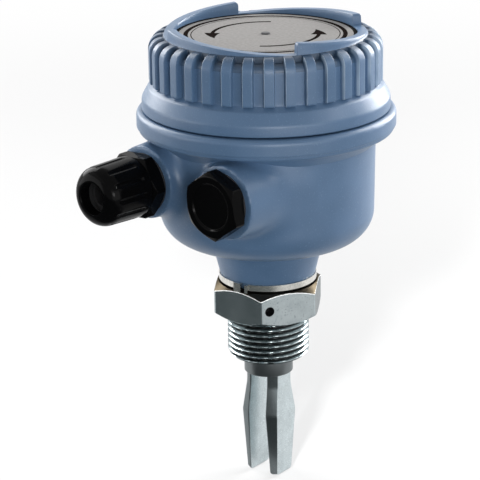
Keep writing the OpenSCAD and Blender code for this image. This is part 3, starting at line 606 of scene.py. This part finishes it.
blue_nylon = nylon("blue_nylon")


def soft_union(first, second, blend):
    """Distance to two shapes joined by a fillet."""
    share = np.clip(0.5 + 0.5 * (second - first) / blend, 0, 1)
    return second + (first - second) * share - blend * share * (1 - share)


def box_section(along, up, half_along, half_up, edge):
    """Distance to a rectangle with rounded corners."""
    beyond_x = np.abs(along) - half_along + edge
    beyond_y = np.abs(up) - half_up + edge
    outside = np.hypot(np.maximum(beyond_x, 0), np.maximum(beyond_y, 0))
    return outside + np.minimum(np.maximum(beyond_x, beyond_y), 0) - edge


def slab(radius, height, outer, low, high, edge):
    """Distance to a round slab between two heights."""
    return box_section(radius, height - (low + high) / 2, outer, (high - low) / 2, edge)


def housing_distance(p):
    """Distance from points to the housing's skin in millimetres, negative inside."""
    x, y, z = p[..., 0], p[..., 1], p[..., 2]
    radius = np.hypot(x, y)
    draft = BODY_DRAFT * np.clip((RIM_Z - z) / (RIM_Z - BODY_Z), 0, 1)
    bowl = slab(radius + draft, z, BODY_R, BODY_Z, 2 * RIM_Z - BODY_Z, BOTTOM_ROUND)
    bowl = np.maximum(bowl, z - RIM_Z + BOWL_STOP)
    for side in (-1, 1):
        off_axis = np.hypot(x - side * CONDUIT_X, z - CONDUIT_Z)
        depth = BOSS_FACE + y
        cone = off_axis - BOSS_DRAFT * np.clip(depth / BOSS_LENGTH, 0, 1)
        boss = box_section(cone, depth - BOSS_LENGTH / 2, BOSS_R, BOSS_LENGTH / 2, BOSS_EDGE)
        bowl = soft_union(bowl, boss, BOSS_FILLET)
    taper = (NECK_TOP_R - NECK_END_R) / (BODY_Z - neck_end - BAND_HEIGHT)
    neck_r = NECK_END_R + taper * np.clip(z - neck_end - BAND_HEIGHT, 0, None)
    neck = np.maximum(radius - neck_r, np.maximum(neck_end + BAND_HEIGHT - z, z - BODY_Z - NECK_OVERLAP))
    solid = soft_union(bowl, neck, NECK_FILLET)
    solid = np.minimum(solid, slab(radius, z, BAND_SEAT_R, neck_end, neck_end + SEAT_HEIGHT, SEAT_EDGE))
    floor = BODY_Z + FLOOR_THICKNESS
    cavity = slab(radius, z, CAVITY_R, floor, 2 * collar_top - floor, BOTTOM_ROUND - FLOOR_THICKNESS)
    solid = np.maximum(solid, -cavity)
    solid = np.maximum(solid, NECK_BORE_R - radius - BORE_STOP * (z > floor + 1))
    for side in (-1, 1):
        off_axis = np.hypot(x - side * CONDUIT_X, z - CONDUIT_Z)
        solid = np.maximum(solid, np.minimum(CONDUIT_R - off_axis, CONDUIT_END - y))
    return solid


def skin_mesh(distance, low, high, step):
    """Points and quads on the zero level of a distance, each point drawn onto the true skin."""
    axes = [np.arange(a - 1.5 * step, b + 2.5 * step, step) for a, b in zip(low, high)]
    grid = np.stack(np.meshgrid(*axes, indexing="ij"), -1)
    value = distance(grid)
    inside = value < 0
    cells = tuple(size - 1 for size in value.shape)
    total = np.zeros((*cells, 3))
    crossings = np.zeros(cells)
    edges = []
    for axis in range(3):
        head = [slice(None)] * 3
        tail = [slice(None)] * 3
        head[axis] = slice(0, -1)
        tail[axis] = slice(1, None)
        head, tail = tuple(head), tuple(tail)
        cut = inside[head] != inside[tail]
        share = np.where(cut, value[head] / np.where(cut, value[head] - value[tail], 1), 0)
        spot = grid[head].copy()
        spot[..., axis] += share * step
        spot *= cut[..., None]
        others = [a for a in range(3) if a != axis]
        for first in (0, 1):
            for second in (0, 1):
                window = [slice(None)] * 3
                for other, shift in zip(others, (first, second)):
                    window[other] = slice(shift, shift + cells[other])
                total += spot[tuple(window)]
                crossings += cut[tuple(window)]
        edges.append((axis, others, cut))
    used = crossings > 0
    index = np.full(cells, -1)
    index[used] = np.arange(used.sum())
    points = total[used] / crossings[used][:, None]
    quads = []
    for axis, others, cut in edges:
        spots = np.argwhere(cut)
        spots = spots[(spots[:, others[0]] > 0) & (spots[:, others[1]] > 0)]
        corners = []
        for first, second in ((0, 0), (1, 0), (1, 1), (0, 1)):
            cell = spots.copy()
            cell[:, others[0]] -= first
            cell[:, others[1]] -= second
            corners.append(index[tuple(cell.T)])
        quads.append(np.stack(corners, -1))
    nudge = 0.05
    for _ in range(3):
        slope = np.stack([distance(points + nudge * unit) - distance(points - nudge * unit)
                          for unit in np.eye(3)], -1) / (2 * nudge)
        reach = distance(points) / np.maximum((slope**2).sum(-1), 0.2)
        points -= np.clip(reach, -step / 2, step / 2)[:, None] * slope
    return points, np.concatenate(quads).tolist()


def densified(line, step, closed=False):
    """The same line, with points about a step apart."""
    line = np.asarray(line)
    dense = []
    for spot, after in zip(line, np.roll(line, -1, 0) if closed else line[1:]):
        steps = max(1, int(np.linalg.norm(after - spot) / step))
        dense += [spot + (after - spot) * k / steps for k in range(steps)]
    return np.array(dense if closed else [*dense, line[-1]])


points, faces = skin_mesh(housing_distance, (-BODY_R, -BOSS_FACE, neck_end), (BODY_R, BODY_R, RIM_Z), VOXEL)
rim_top = RIM_Z + RIM_HEIGHT
ledge_r = rim_r - LEDGE_STEP
ledge_z = RIM_Z - LEDGE_HEIGHT
rim_line = filleted([
    (RIM_BORE_R, ledge_z - RING_FOOT), (RIM_BORE_R, collar_top, 0.4),
    (COLLAR_R, collar_top, 0.6), (COLLAR_R, rim_top, 0.4),
    (rim_r, rim_top, RIM_ROUND), (rim_r, RIM_Z, 0.35),
    (ledge_r, RIM_Z, 0.15), (ledge_r, ledge_z, 1.2),
    (BODY_R + 3.5, ledge_z - 0.2, 2.0), (BODY_R - 0.3, ledge_z - RING_FOOT),
], 6, True)
rim_line = densified(rim_line, RIM_STEP, True)
ring_grid = turned(rim_line, RIM_COLUMNS)
around = np.linspace(0, 2 * np.pi, RIM_COLUMNS, endpoint=False)
pitch, tooth = COLLAR_THREAD
height = rim_line[:, 1][:, None]
phase = (height / pitch - around[None] / (2 * np.pi)) % 1
on_collar = (np.abs(rim_line[:, 0] - COLLAR_R) < 0.05)[:, None]
lead_in = smoothstep(rim_top + THREAD_LEAD_IN[0], rim_top + THREAD_LEAD_IN[1], height)
lead_out = smoothstep(collar_top - THREAD_LEAD_OUT[0], collar_top - THREAD_LEAD_OUT[1], height)
ridge = np.clip(COLLAR_CREST - np.abs(2 * phase - 1) * COLLAR_FLANK, 0, 1)
thread = tooth * ridge * lead_in * (1 - lead_out) * on_collar
ring_grid[..., :2] *= (1 + thread / rim_line[:, :1])[..., None]
faces = faces + ring_faces(len(rim_line), RIM_COLUMNS, True, len(points))
points = np.concatenate([points, ring_grid.reshape(-1, 3)])
piece("moulded_housing", points, faces, blue_nylon, "housing", ["housing"], 45)


# Retaining band: a split strip of bright steel, rolled round the neck's end, with an ear at each side
# of its split. It is left as the frame's solid, with its own bright finish.
dress(moulded("bright_strip", (0.68, 0.67, 0.63), 0.2, 1.0, 0.01, Metallic=1.0), "retaining_ring")


# Cable gland: black glossy nylon, a hexagon body screwed into the left entry and a fluted dome nut
# on it that squeezes the rubber seal. Both are moulded, so every edge is a little round.
BLACK_TONES = ((0.0022, 0.0022, 0.0024), (0.006, 0.006, 0.0065))
black_nylon, shader, root = finish("black_nylon", Specular_IOR_Level=0.04)
where = place(root)
skin = noise(root, where, 1.8, 2.0)
dust = noise(root, where, 0.9, 4.0, 0.7).ramp(0.58, 0.8)
root.feed(shader.inputs["Base Color"], dust.mix(*BLACK_TONES))
root.feed(shader.inputs["Roughness"], 0.09 + skin * 0.08 + dust * 0.08)
root.feed(shader.inputs["Normal"], bump(root, skin, 0.03, 0.35))

CONDUIT_HEX = 24.0
HEAD_Y = 1.1
GLAND_HEX_HEIGHT = 6.3
GLAND_HEX_TURN = 0.0
SHANK_R = 9.15
SHANK_LENGTH = 9.5
GLAND_THREAD_R = 10.3
GLAND_THREAD_LENGTH = 12.0
GLAND_THROAT_R = 6.6
DOME_R = 12.3
DOME_LENGTH = 20.8
DOME_NOSE = 5.5
DOME_OPENING_R = 6.4
DOME_BORE_R = 10.6
DOME_BORE_LENGTH = 16.0
DOME_WAIST = 0.5
FLUTES = 12
FLUTE_HALF = math.radians(5.5)
FLUTE_FLAT = FLUTE_HALF * 0.45
FLUTE_DEPTH = 0.45
FLUTE_WALL = 0.9
FLUTE_COLUMNS = 24
FLUTE_START = (2.6, 3.6)
FLUTE_END = (5.0, 3.2)
DOME_FOOT = 3.0
DOME_STEP = 0.8
DOME_GAP = 0.3
SHANK_EDGE = 0.4
SEAL_SEAT_R = 7.6
SEAL_SEAT = 5.5
HEX_COLUMNS = 240
HEX_ROWS = 40
HEX_MARGIN = 2.5
GLAND_CHAMFER_R = (11.9, 11.8)


def on_conduit(grid, side):
    """Turns points along +Z into points along a conduit's axis, which faces -Y."""
    x, y, z = grid[..., 0], grid[..., 1], grid[..., 2]
    return np.stack([side * CONDUIT_X + x, -BOSS_FACE - z, CONDUIT_Z + y], -1)


def hexagon_limit(flats, turn, around, blunt):
    """Radius of a hexagon at each angle, with its corners blunted."""
    flat_angle = (around - turn) % (np.pi / 3) - np.pi / 6
    return np.minimum(flats / 2 / np.cos(flat_angle), flats / 2 / math.cos(math.pi / 6) - blunt)


def hexagon_rows(line, flats, turn, columns, slope, low, high, low_r, high_r, blunt=0.2):
    """A turned grid whose rows between two heights are cut to a chamfered hexagon."""
    grid = turned(line, columns)
    around = np.linspace(0, 2 * np.pi, columns, endpoint=False)
    limit = hexagon_limit(flats, turn, around, blunt)
    radius = np.asarray(line)[:, :1]
    height = np.asarray(line)[:, 1:2]
    cone = np.minimum(high_r + (high - height) / slope, low_r + (height - low) / slope)
    wanted = np.minimum(radius, np.minimum(limit[None], cone))
    cut = (height > low - 1e-6) & (height < high + 1e-6) & (radius > flats / 2 - HEX_MARGIN)
    scale = np.where(cut, wanted / radius, 1.0)
    grid[..., :2] *= scale[..., None]
    return grid


CHAMFER = math.tan(math.radians(30))
gland_hex_end = HEAD_Y + GLAND_HEX_HEIGHT
corner_r = CONDUIT_HEX / 2 / math.cos(math.pi / 6)
hex_line = [(corner_r, h) for h in np.linspace(HEAD_Y, gland_hex_end, HEX_ROWS)]
thread_end = gland_hex_end + GLAND_THREAD_LENGTH
seat_end = gland_hex_end + SEAL_SEAT
body_line = [(GLAND_THROAT_R, -SHANK_LENGTH), (SHANK_R - SHANK_EDGE, -SHANK_LENGTH),
             (SHANK_R, -SHANK_LENGTH + SHANK_EDGE), (SHANK_R, HEAD_Y)]
body_line += hex_line
body_line += [(GLAND_THREAD_R, gland_hex_end + 0.02), (GLAND_THREAD_R, thread_end - SHANK_EDGE),
              (GLAND_THREAD_R - SHANK_EDGE, thread_end), (SEAL_SEAT_R, thread_end),
              (SEAL_SEAT_R, seat_end), (GLAND_THROAT_R, seat_end)]
grid = hexagon_rows(body_line, CONDUIT_HEX, GLAND_HEX_TURN, HEX_COLUMNS, CHAMFER, HEAD_Y, gland_hex_end,
                    *GLAND_CHAMFER_R)
piece("gland_hexagon", on_conduit(grid, -1).reshape(-1, 3), ring_faces(len(body_line), HEX_COLUMNS, True),
      black_nylon, "housing", ["gland_body"], 30)

dome_y = gland_hex_end + DOME_GAP
dome_line = filleted([(DOME_BORE_R, 0), (DOME_R, 0, 0.4), (DOME_R, DOME_FOOT, 0),
                      (DOME_R - DOME_WAIST, DOME_LENGTH, DOME_NOSE), (DOME_OPENING_R, DOME_LENGTH, 0.7),
                      (DOME_OPENING_R, DOME_BORE_LENGTH, 0.3), (DOME_BORE_R, DOME_BORE_LENGTH)], 10)
dome_line = densified(dome_line, DOME_STEP)
columns = FLUTES * FLUTE_COLUMNS
grid = turned(dome_line, columns)
around = np.linspace(0, 2 * np.pi, columns, endpoint=False)
from_flute = np.abs((around + np.pi / FLUTES) % (2 * np.pi / FLUTES) - np.pi / FLUTES)
groove = 1 - smoothstep(FLUTE_FLAT, FLUTE_HALF, from_flute)
outside = dome_line[:, 0] > DOME_BORE_R + FLUTE_WALL
start = smoothstep(*FLUTE_START, dome_line[:, 1])
end = smoothstep(DOME_LENGTH - FLUTE_END[0], DOME_LENGTH - FLUTE_END[1], dome_line[:, 1])
reach = start * (1 - end) * outside
cut = FLUTE_DEPTH * reach[:, None] * groove[None]
grid[..., :2] *= ((dome_line[:, :1] - cut) / dome_line[:, :1])[..., None]
grid[..., 2] += dome_y
piece("gland_dome", on_conduit(grid, -1).reshape(-1, 3), ring_faces(len(dome_line), columns, True),
      black_nylon, "dome_nut", ["gland_dome_nut"], 40)


# Blanking plug: a black nylon hexagon with a hollow screwed shank that closes the right entry.
# Its face is moulded with a shallow round recess with rounded edges.
PLUG_HEAD = 6.1
PLUG_HEX_TURN = math.radians(36)
PLUG_BORE_R = 6.95
PLUG_RECESS_R = 8.8
PLUG_RECESS = 0.7
PLUG_HUB_R = 0.02
PLUG_FLOOR = 0.5
PLUG_FACE_R = 11.6
PLUG_EDGE = 0.3
PLUG_CHAMFER_R = (12.6, 11.8)
plug_face = HEAD_Y + PLUG_HEAD
hex_line = [(corner_r, h) for h in np.linspace(HEAD_Y, plug_face, HEX_ROWS)]
face_line = filleted([(PLUG_FACE_R, plug_face + 0.01), (PLUG_RECESS_R + 0.5, plug_face + 0.01, PLUG_EDGE),
                      (PLUG_RECESS_R, plug_face - PLUG_RECESS, PLUG_EDGE),
                      (PLUG_HUB_R, plug_face - PLUG_RECESS)])
plug_line = [(PLUG_HUB_R, PLUG_FLOOR), (PLUG_BORE_R, PLUG_FLOOR), (PLUG_BORE_R, -SHANK_LENGTH),
             (SHANK_R - SHANK_EDGE, -SHANK_LENGTH), (SHANK_R, -SHANK_LENGTH + SHANK_EDGE), (SHANK_R, HEAD_Y)]
plug_line += hex_line + [tuple(spot) for spot in face_line]
grid = hexagon_rows(plug_line, CONDUIT_HEX, PLUG_HEX_TURN, HEX_COLUMNS, CHAMFER, HEAD_Y, plug_face,
                    *PLUG_CHAMFER_R)
piece("plug_hexagon", on_conduit(grid, 1).reshape(-1, 3), ring_faces(len(plug_line), HEX_COLUMNS),
      black_nylon, "plug", ["blanking_plug"], 30)


# Lid: a cap of the same nylon that screws over the housing's collar. Grip ribs run up its wall and over
# the shoulder, and four lips ramp up round the recess of the label, so that a bar can turn it.
foot_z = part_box("lid")[0].z / MM
LID_HEIGHT = 29.1
lid_top = foot_z + LID_HEIGHT
GROOVE_R = 43.9
RIB_DEPTH = 2.3
rib_r = GROOVE_R + RIB_DEPTH
FOOT_R = 49.4
FOOT_EDGE = 0.5
SKIRT_HEIGHT = 10.8
SKIRT_DRAFT = 0.15
SKIRT_WALL = 4.2
SKIRT_FILLET = 3.0
HOLLOW_REACH = 2.7
HOLLOW_FALL = 1.9
HOLLOW_FILLET = 2.0
SHOULDER_ROUND = 5.5
RIBS = 35
RIB_PHASE = -46.5
RIB_HALF_ANGLE = 2.6
RIB_EDGE_ANGLE = 0.3
SHADE_ON_RIB = 0.7
RIB_COLUMNS = (0, 1.0, 1.8, 2.2, 2.36, 2.46, 2.56, 2.66, 2.76, 2.86, 3.0, 3.4, 4.2)
RECESS_R = 36.3
RECESS_DEPTH = 0.7
LIP_HEIGHT = 4.5
LIP_WIDTH = 3.7
lip_r = RECESS_R + LIP_WIDTH
LIP_TURN = 144.5
LIP_SPAN = 85.0
LIP_END = 1.5
LENS_HOLE_R = 1.95
LID_PLATE = 3.4
LID_BORE_R = 41.7
COUNTERBORE = (44.2, 3.1)
LIPS = 4
LIP_STEPS = (-0.06, 0.0, 0.25, 0.6, 1.0, 1.5)
WALL_ROWS = 9
WALL_START = 1.4
SHOULDER_ROWS = 10
PLATE_MIDDLE_R = 20.0
BORE_MIDDLE = 16.0

skirt_top = foot_z + SKIRT_HEIGHT
pitch_angle = 360 / RIBS


def rib_place(root, where):
    """Radius, height, and degrees from the middle of the nearest rib."""
    x, y, z = (coordinate(root, where, axis) for axis in range(3))
    turn = root.math("ARCTAN2", y, x) * (180 / math.pi / pitch_angle) + (0.5 - RIB_PHASE / pitch_angle)
    return (x * x + y * y) ** 0.5, z, (root.math("FRACT", turn) - 0.5) * pitch_angle


def rib_edge_highlights(root, where):
    """1 along the left edge of each rib, where a highlight is painted."""
    radius, z, from_middle = rib_place(root, where)
    on_edge = 1 - abs(from_middle + RIB_HALF_ANGLE - 0.2).ramp(0.1, 0.32)
    return on_edge * (z > skirt_top) * radius.ramp(lip_r + 1.5, lip_r + 3)


def shoulder_shade(root, where):
    """Near 1 on the shoulder where the grooves run out under the lips, less on the ribs between them: painted
    shade.
    """
    radius, z, from_middle = rib_place(root, where)
    under_lip = (1 - radius.ramp(lip_r + 1.6, lip_r + 6.2)) * (radius > lip_r + 0.1)
    on_shoulder = (z > lid_top - SHOULDER_ROUND) * (z < lid_top + 0.05)
    in_groove = abs(from_middle).ramp(RIB_HALF_ANGLE - 0.4, RIB_HALF_ANGLE + 0.2)
    return under_lip * on_shoulder * (in_groove * (1 - SHADE_ON_RIB) + SHADE_ON_RIB)


steps = [-a for a in RIB_COLUMNS[:0:-1]] + list(RIB_COLUMNS) + [pitch_angle / 2]
degrees = [RIB_PHASE + i * pitch_angle + step for i in range(RIBS) for step in steps]
lip_pitch = 360 / LIPS
degrees += [LIP_TURN - LIP_SPAN + lip_pitch * i + step for i in range(LIPS) for step in LIP_STEPS]
degrees = np.unique(np.round(np.mod(degrees, 360), 3))
from_rib = np.abs((degrees - RIB_PHASE + pitch_angle / 2) % pitch_angle - pitch_angle / 2)
rib = 1 - smoothstep(RIB_HALF_ANGLE - RIB_EDGE_ANGLE, RIB_HALF_ANGLE + RIB_EDGE_ANGLE, from_rib)
# The lid's nylon carries painted highlights along the rib edges and painted shade on the shoulder under the
# lips.
painted_light_nylon = nylon("painted_light_nylon", rib_edge_highlights, shoulder_shade)
into_lip = (LIP_TURN - degrees) % lip_pitch
near_end = np.clip((into_lip - LIP_SPAN + LIP_END) / LIP_END, 0, 1)
lip = LIP_HEIGHT * into_lip / LIP_SPAN - (1 - np.sqrt(1 - near_end**2))
lip = np.where(into_lip > LIP_SPAN + 0.03, 0, lip)
shoulder_r = rib_r - SHOULDER_ROUND
shoulder_z = lid_top - SHOULDER_ROUND
skirt_line = filleted([(COUNTERBORE[0], foot_z), (FOOT_R, foot_z, FOOT_EDGE),
                       (FOOT_R - SKIRT_DRAFT, foot_z + SKIRT_WALL, SKIRT_FILLET),
                       (GROOVE_R + HOLLOW_REACH, skirt_top - HOLLOW_FALL, HOLLOW_FILLET),
                       (GROOVE_R + 0.15, skirt_top - 0.05)], 7)
lid_rows = [(spot[0], spot[1], spot[0], spot[1], 0.0) for spot in skirt_line]
wall = GROOVE_R + 0.1
lid_rows += [(wall, skirt_top + 0.02, rib_r - 0.3, skirt_top, 0.0),
             (wall - 0.03, skirt_top + 0.3, rib_r, skirt_top + 0.3, 0.0),
             (wall - 0.07, skirt_top + 0.8, rib_r, skirt_top + 0.8, 0.0)]
for height in np.linspace(skirt_top + WALL_START, shoulder_z, WALL_ROWS):
    lid_rows.append((GROOVE_R, height, rib_r, height, 0.0))
groove_round = SHOULDER_ROUND - RIB_DEPTH
for bend in np.linspace(0, math.pi / 2, SHOULDER_ROWS)[1:]:
    out, up = math.cos(bend), math.sin(bend)
    lid_rows.append((shoulder_r + groove_round * out, shoulder_z + groove_round * up,
                     shoulder_r + SHOULDER_ROUND * out, shoulder_z + SHOULDER_ROUND * up, 0.0))
groove_z = lid_top - RIB_DEPTH
lid_rows += [(lip_r + 0.9, groove_z, lip_r + 0.9, lid_top, 0.0),
             (lip_r + 0.45, groove_z + 0.35, lip_r + 0.45, lid_top, 0.0),
             (lip_r + 0.30, lid_top - 0.3, lip_r + 0.30, lid_top, 0.0),
             (lip_r + 0.15, lid_top, lip_r + 0.15, lid_top, 0.0)]
for radius, share in ((lip_r, 0.12), (lip_r - 0.08, 0.5), (lip_r - 0.16, 0.9), (lip_r - 0.32, 0.97),
                      (lip_r - 0.6, 1.0), (RECESS_R + 0.5, 1.0), (RECESS_R + 0.25, 0.97),
                      (RECESS_R + 0.1, 0.9), (RECESS_R + 0.05, 0.4), (RECESS_R, 0.0)):
    lid_rows.append((radius, lid_top, radius, lid_top, share))
recess_z = lid_top - RECESS_DEPTH
ceiling_z = recess_z - LID_PLATE
for radius, height in ((RECESS_R, recess_z), (PLATE_MIDDLE_R, recess_z), (LENS_HOLE_R, recess_z),
                       (LENS_HOLE_R, ceiling_z), (PLATE_MIDDLE_R, ceiling_z), (LID_BORE_R, ceiling_z),
                       (LID_BORE_R, foot_z + BORE_MIDDLE), (LID_BORE_R, foot_z + COUNTERBORE[1]),
                       (COUNTERBORE[0], foot_z + COUNTERBORE[1])):
    lid_rows.append((radius, height, radius, height, 0.0))
table = np.array(lid_rows)
radius = table[:, 0:1] * (1 - rib) + table[:, 2:3] * rib
height = table[:, 1:2] * (1 - rib) + table[:, 3:4] * rib + table[:, 4:5] * lip
around = np.radians(degrees)
grid = np.stack([radius * np.cos(around), radius * np.sin(around), height], -1)
piece("ribbed_lid", grid.reshape(-1, 3), ring_faces(len(lid_rows), len(degrees), True), painted_light_nylon,
      "lid", ["lid"], 50)


# Label and lens: a printed film in the lid's recess, with a ruled border and two arrows for the way that
# the lid unscrews, and a smoked lens through its middle that shows the light of the diode below.
LABEL_R = 34.6
BORDER_R = 31.4
BORDER_HALF = 0.9
THIN_RING_R = 29.3
THIN_RING_HALF = 0.2
ARROW_R = 21.0
ARROW_HALF = 0.8
ARROW_HEAD_HALF = 3.2
ARROW_START = 0.3
ARROW_SHAFT = 0.5
ARROW_TIP = 0.64
LABEL_TONES = ((0.315, 0.306, 0.298), (0.355, 0.346, 0.338))
INK_TONE = (0.016, 0.012, 0.011)
label_film, shader, root = finish("label_film", Specular_IOR_Level=0.0)
where = place(root)
spot_x = coordinate(root, where, 0)
spot_y = coordinate(root, where, 1)
from_middle = (spot_x * spot_x + spot_y * spot_y) ** 0.5
half_turns = root.math("FRACT", root.math("ARCTAN2", spot_y, spot_x) / math.pi + ARROW_START)
paper = noise(root, where, 0.8, 3.0)
border = (abs(from_middle - BORDER_R) < BORDER_HALF) + (abs(from_middle - THIN_RING_R) < THIN_RING_HALF)
off_arrow = abs(from_middle - ARROW_R)
shaft = (off_arrow < ARROW_HALF) * (half_turns < ARROW_SHAFT)
head = (off_arrow < (ARROW_TIP - half_turns) * (ARROW_HEAD_HALF / (ARROW_TIP - ARROW_SHAFT)))
ink = border + shaft + head * (half_turns > ARROW_SHAFT)
ground = paper.ramp(0.3, 0.7).mix(*LABEL_TONES)
root.feed(shader.inputs["Base Color"], ink.ramp(0.2, 0.8).mix(ground, INK_TONE))
root.feed(shader.inputs["Roughness"], 0.5 + paper * 0.14)
root.feed(shader.inputs["Normal"], bump(root, paper, 0.01, 0.3))
dress(label_film, "lid_label")
dress(moulded("smoked_lens", (0.06, 0.06, 0.064), 0.3, 0.6, 0.005, Specular_IOR_Level=0.1), "indicator_lens")


# Label ring: a flat ring of matt black, pressed into the recess round the label.
# Its fit in the recess holds it.
BLACK_RING_HEIGHT = 0.35
BLACK_RING_GAP = 0.08
BLACK_RING_EDGE = 0.15
BLACK_RING_COLUMNS = 180
black_ring_top = recess_z + BLACK_RING_HEIGHT
black_ring_inner, black_ring_outer = LABEL_R + BLACK_RING_GAP, RECESS_R - BLACK_RING_GAP
black_ring_line = filleted([(black_ring_inner, recess_z), (black_ring_inner, black_ring_top, BLACK_RING_EDGE),
                      (black_ring_outer, black_ring_top, BLACK_RING_EDGE), (black_ring_outer, recess_z)], 4)
black_ring_grid = turned(black_ring_line, BLACK_RING_COLUMNS)
matt_black = moulded("matt_black", (0.006, 0.006, 0.006), 0.75, 2.0, 0.03, Specular_IOR_Level=0.02)
piece("label_black_ring", black_ring_grid.reshape(-1, 3), ring_faces(len(black_ring_line), BLACK_RING_COLUMNS, True),
      matt_black, "lid")


# Studio: a pale paper floor under the fork's tips that runs up behind the part, with soft panels round it.
# The camera sees all of it white. Light and mirrored rays find its front left grey, so that the bright
# steel mirrors a dark room there. One lamp is linked to the floor and only lays the part's shadow on it.
FLOOR_WHITE = (0.42, 0.42, 0.42)
FRONT_GREY = (0.06, 0.068, 0.07)
SHADOW_SHARE = 0.5
ROOM_LIGHT = (0.045, 0.0475, 0.05)
WHITE = (1, 1, 1)
FLOOR_GAP = 0.5 * MM
FRONT_EDGE = (-0.026, -0.017)
RIGHT_EDGE = (0.02, 0.17)
RIGHT_SHARE = 0.7
FAR_EDGE = (0.3, 0.9)
LAMP_AIM = Vector((0, 0, 0.04))
CAMERA_RAY, GLOSSY_RAY, TRANSMISSION_RAY = 0, 3, 6
SWEEP_HALF_WIDTH = 1.7
floor_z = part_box("fork")[0].z - FLOOR_GAP
sweep_line = [(-0.9, 0.0), (0.7, 0.0), (1.1, 0.03), (1.4, 0.15), (1.6, 0.4), (1.7, 0.8), (1.72, 1.6)]
back = -toward_camera
side = Vector((-toward_camera.y, toward_camera.x, 0))
corners = []
for away_m, up_m in sweep_line:
    for sign in (-1, 1):
        corners.append(back * away_m + side * sign * SWEEP_HALF_WIDTH + Vector((0, 0, floor_z + up_m)))
sweep_mesh = bpy.data.meshes.new("floor_sweep")
sweep_faces = [(2 * i, 2 * i + 1, 2 * i + 3, 2 * i + 2) for i in range(len(sweep_line) - 1)]
sweep_mesh.from_pydata(corners, [], sweep_faces)
sweep_mesh.shade_smooth()
floor_sweep = bpy.data.objects.new("floor_sweep", sweep_mesh)
bpy.context.collection.objects.link(floor_sweep)
pale_floor = bpy.data.materials.new("pale_floor")
pale_floor.use_nodes = True
pale_floor.node_tree.nodes.clear()
root = Socket(pale_floor.node_tree)
spot = root.node("ShaderNodeTexCoord", output=3)


def showing_rays(root):
    """1 for rays from the camera, off metal or through plastic, and 0 for rays that only light the part."""
    kinds = (CAMERA_RAY, GLOSSY_RAY, TRANSMISSION_RAY)
    rays = [root.node("ShaderNodeLightPath", output=kind) for kind in kinds]
    return rays[0] + rays[1] + rays[2]


deep = dot(root, spot, tuple(back))
right = dot(root, spot, tuple(side))
seen = root.node("ShaderNodeLightPath", output=CAMERA_RAY)
beside = right.ramp(*RIGHT_EDGE) * RIGHT_SHARE
front = 1 - beside.math("MAXIMUM", deep.ramp(*FRONT_EDGE), beside)
front = front * (1 - seen)
paper = root.node("ShaderNodeBsdfPrincipled", None,
                  {"Base Color": front.mix(FLOOR_WHITE, FRONT_GREY), "Roughness": 1.0,
                   "Specular IOR Level": 0.0})
glow = root.node("ShaderNodeBsdfPrincipled", None,
                 {"Base Color": (0, 0, 0), "Specular IOR Level": 0.0,
                  "Emission Color": front.mix(WHITE, FRONT_GREY), "Emission Strength": 1.0})
far = ((deep * deep + right * right) ** 0.5).ramp(*FAR_EDGE)
shown = showing_rays(root) * (far * SHADOW_SHARE + 1 - SHADOW_SHARE)
floor_look = root.node("ShaderNodeMixShader", None, {0: shown, 1: paper, 2: glow})
root.node("ShaderNodeOutputMaterial", None, {"Surface": floor_look})
sweep_mesh.materials.append(pale_floor)

world = bpy.data.worlds.new("studio")
bpy.context.scene.world = world
world.use_nodes = True
root = Socket(world.node_tree)
air = world.node_tree.nodes["Background"]
root.feed(air.inputs["Color"], showing_rays(root).mix(ROOM_LIGHT, WHITE))
air.inputs["Strength"].default_value = 1.0


def panel(name, bearing, elevation, distance, width, height, watts):
    """A soft panel. Its bearing goes from the camera to the right, in degrees; lengths are in metres."""
    lamp = bpy.data.lights.new(name, "AREA")
    lamp.shape = "RECTANGLE"
    lamp.size = width
    lamp.size_y = height
    lamp.energy = watts
    made = bpy.data.objects.new(name, lamp)
    turn = VIEW_AZIMUTH + math.radians(bearing)
    rise = math.radians(elevation)
    outward = Vector((math.sin(turn) * math.cos(rise), -math.cos(turn) * math.cos(rise), math.sin(rise)))
    made.location = LAMP_AIM + outward * distance
    made.rotation_euler = outward.to_track_quat("Z", "Y").to_euler()
    bpy.context.collection.objects.link(made)
    return made


panel("right_panel", 24, 8, 0.85, 1.0, 0.5, 3.3)
panel("left_panel", -88, 8, 0.85, 0.9, 0.5, 3.4)
panel("right_strip", 80, 36, 0.85, 1.3, 0.2, 1.0)
panel("left_strip", -85, 36, 0.85, 1.2, 0.2, 0.4)
panel("right_rim_panel", 130, 22, 0.8, 0.45, 0.6, 11.0)
panel("left_rim_panel", -132, 30, 0.8, 0.45, 0.6, 6.5)
panel("back_panel", 178, 38, 1.0, 0.9, 0.5, 1.4)
panel("front_lamp", 8, 12, 1.1, 0.3, 0.2, 2.4)
panel("spark_lamp", 75, 35, 0.8, 0.03, 0.03, 0.4)
shadow_lamp = panel("shadow_lamp", -11, 21, 0.9, 0.08, 0.08, 17.0)
floor_only = bpy.data.collections.new("floor_only")
floor_only.objects.link(floor_sweep)
shadow_lamp.light_linking.receiver_collection = floor_only
bpy.context.scene.view_settings.view_transform = "Standard"
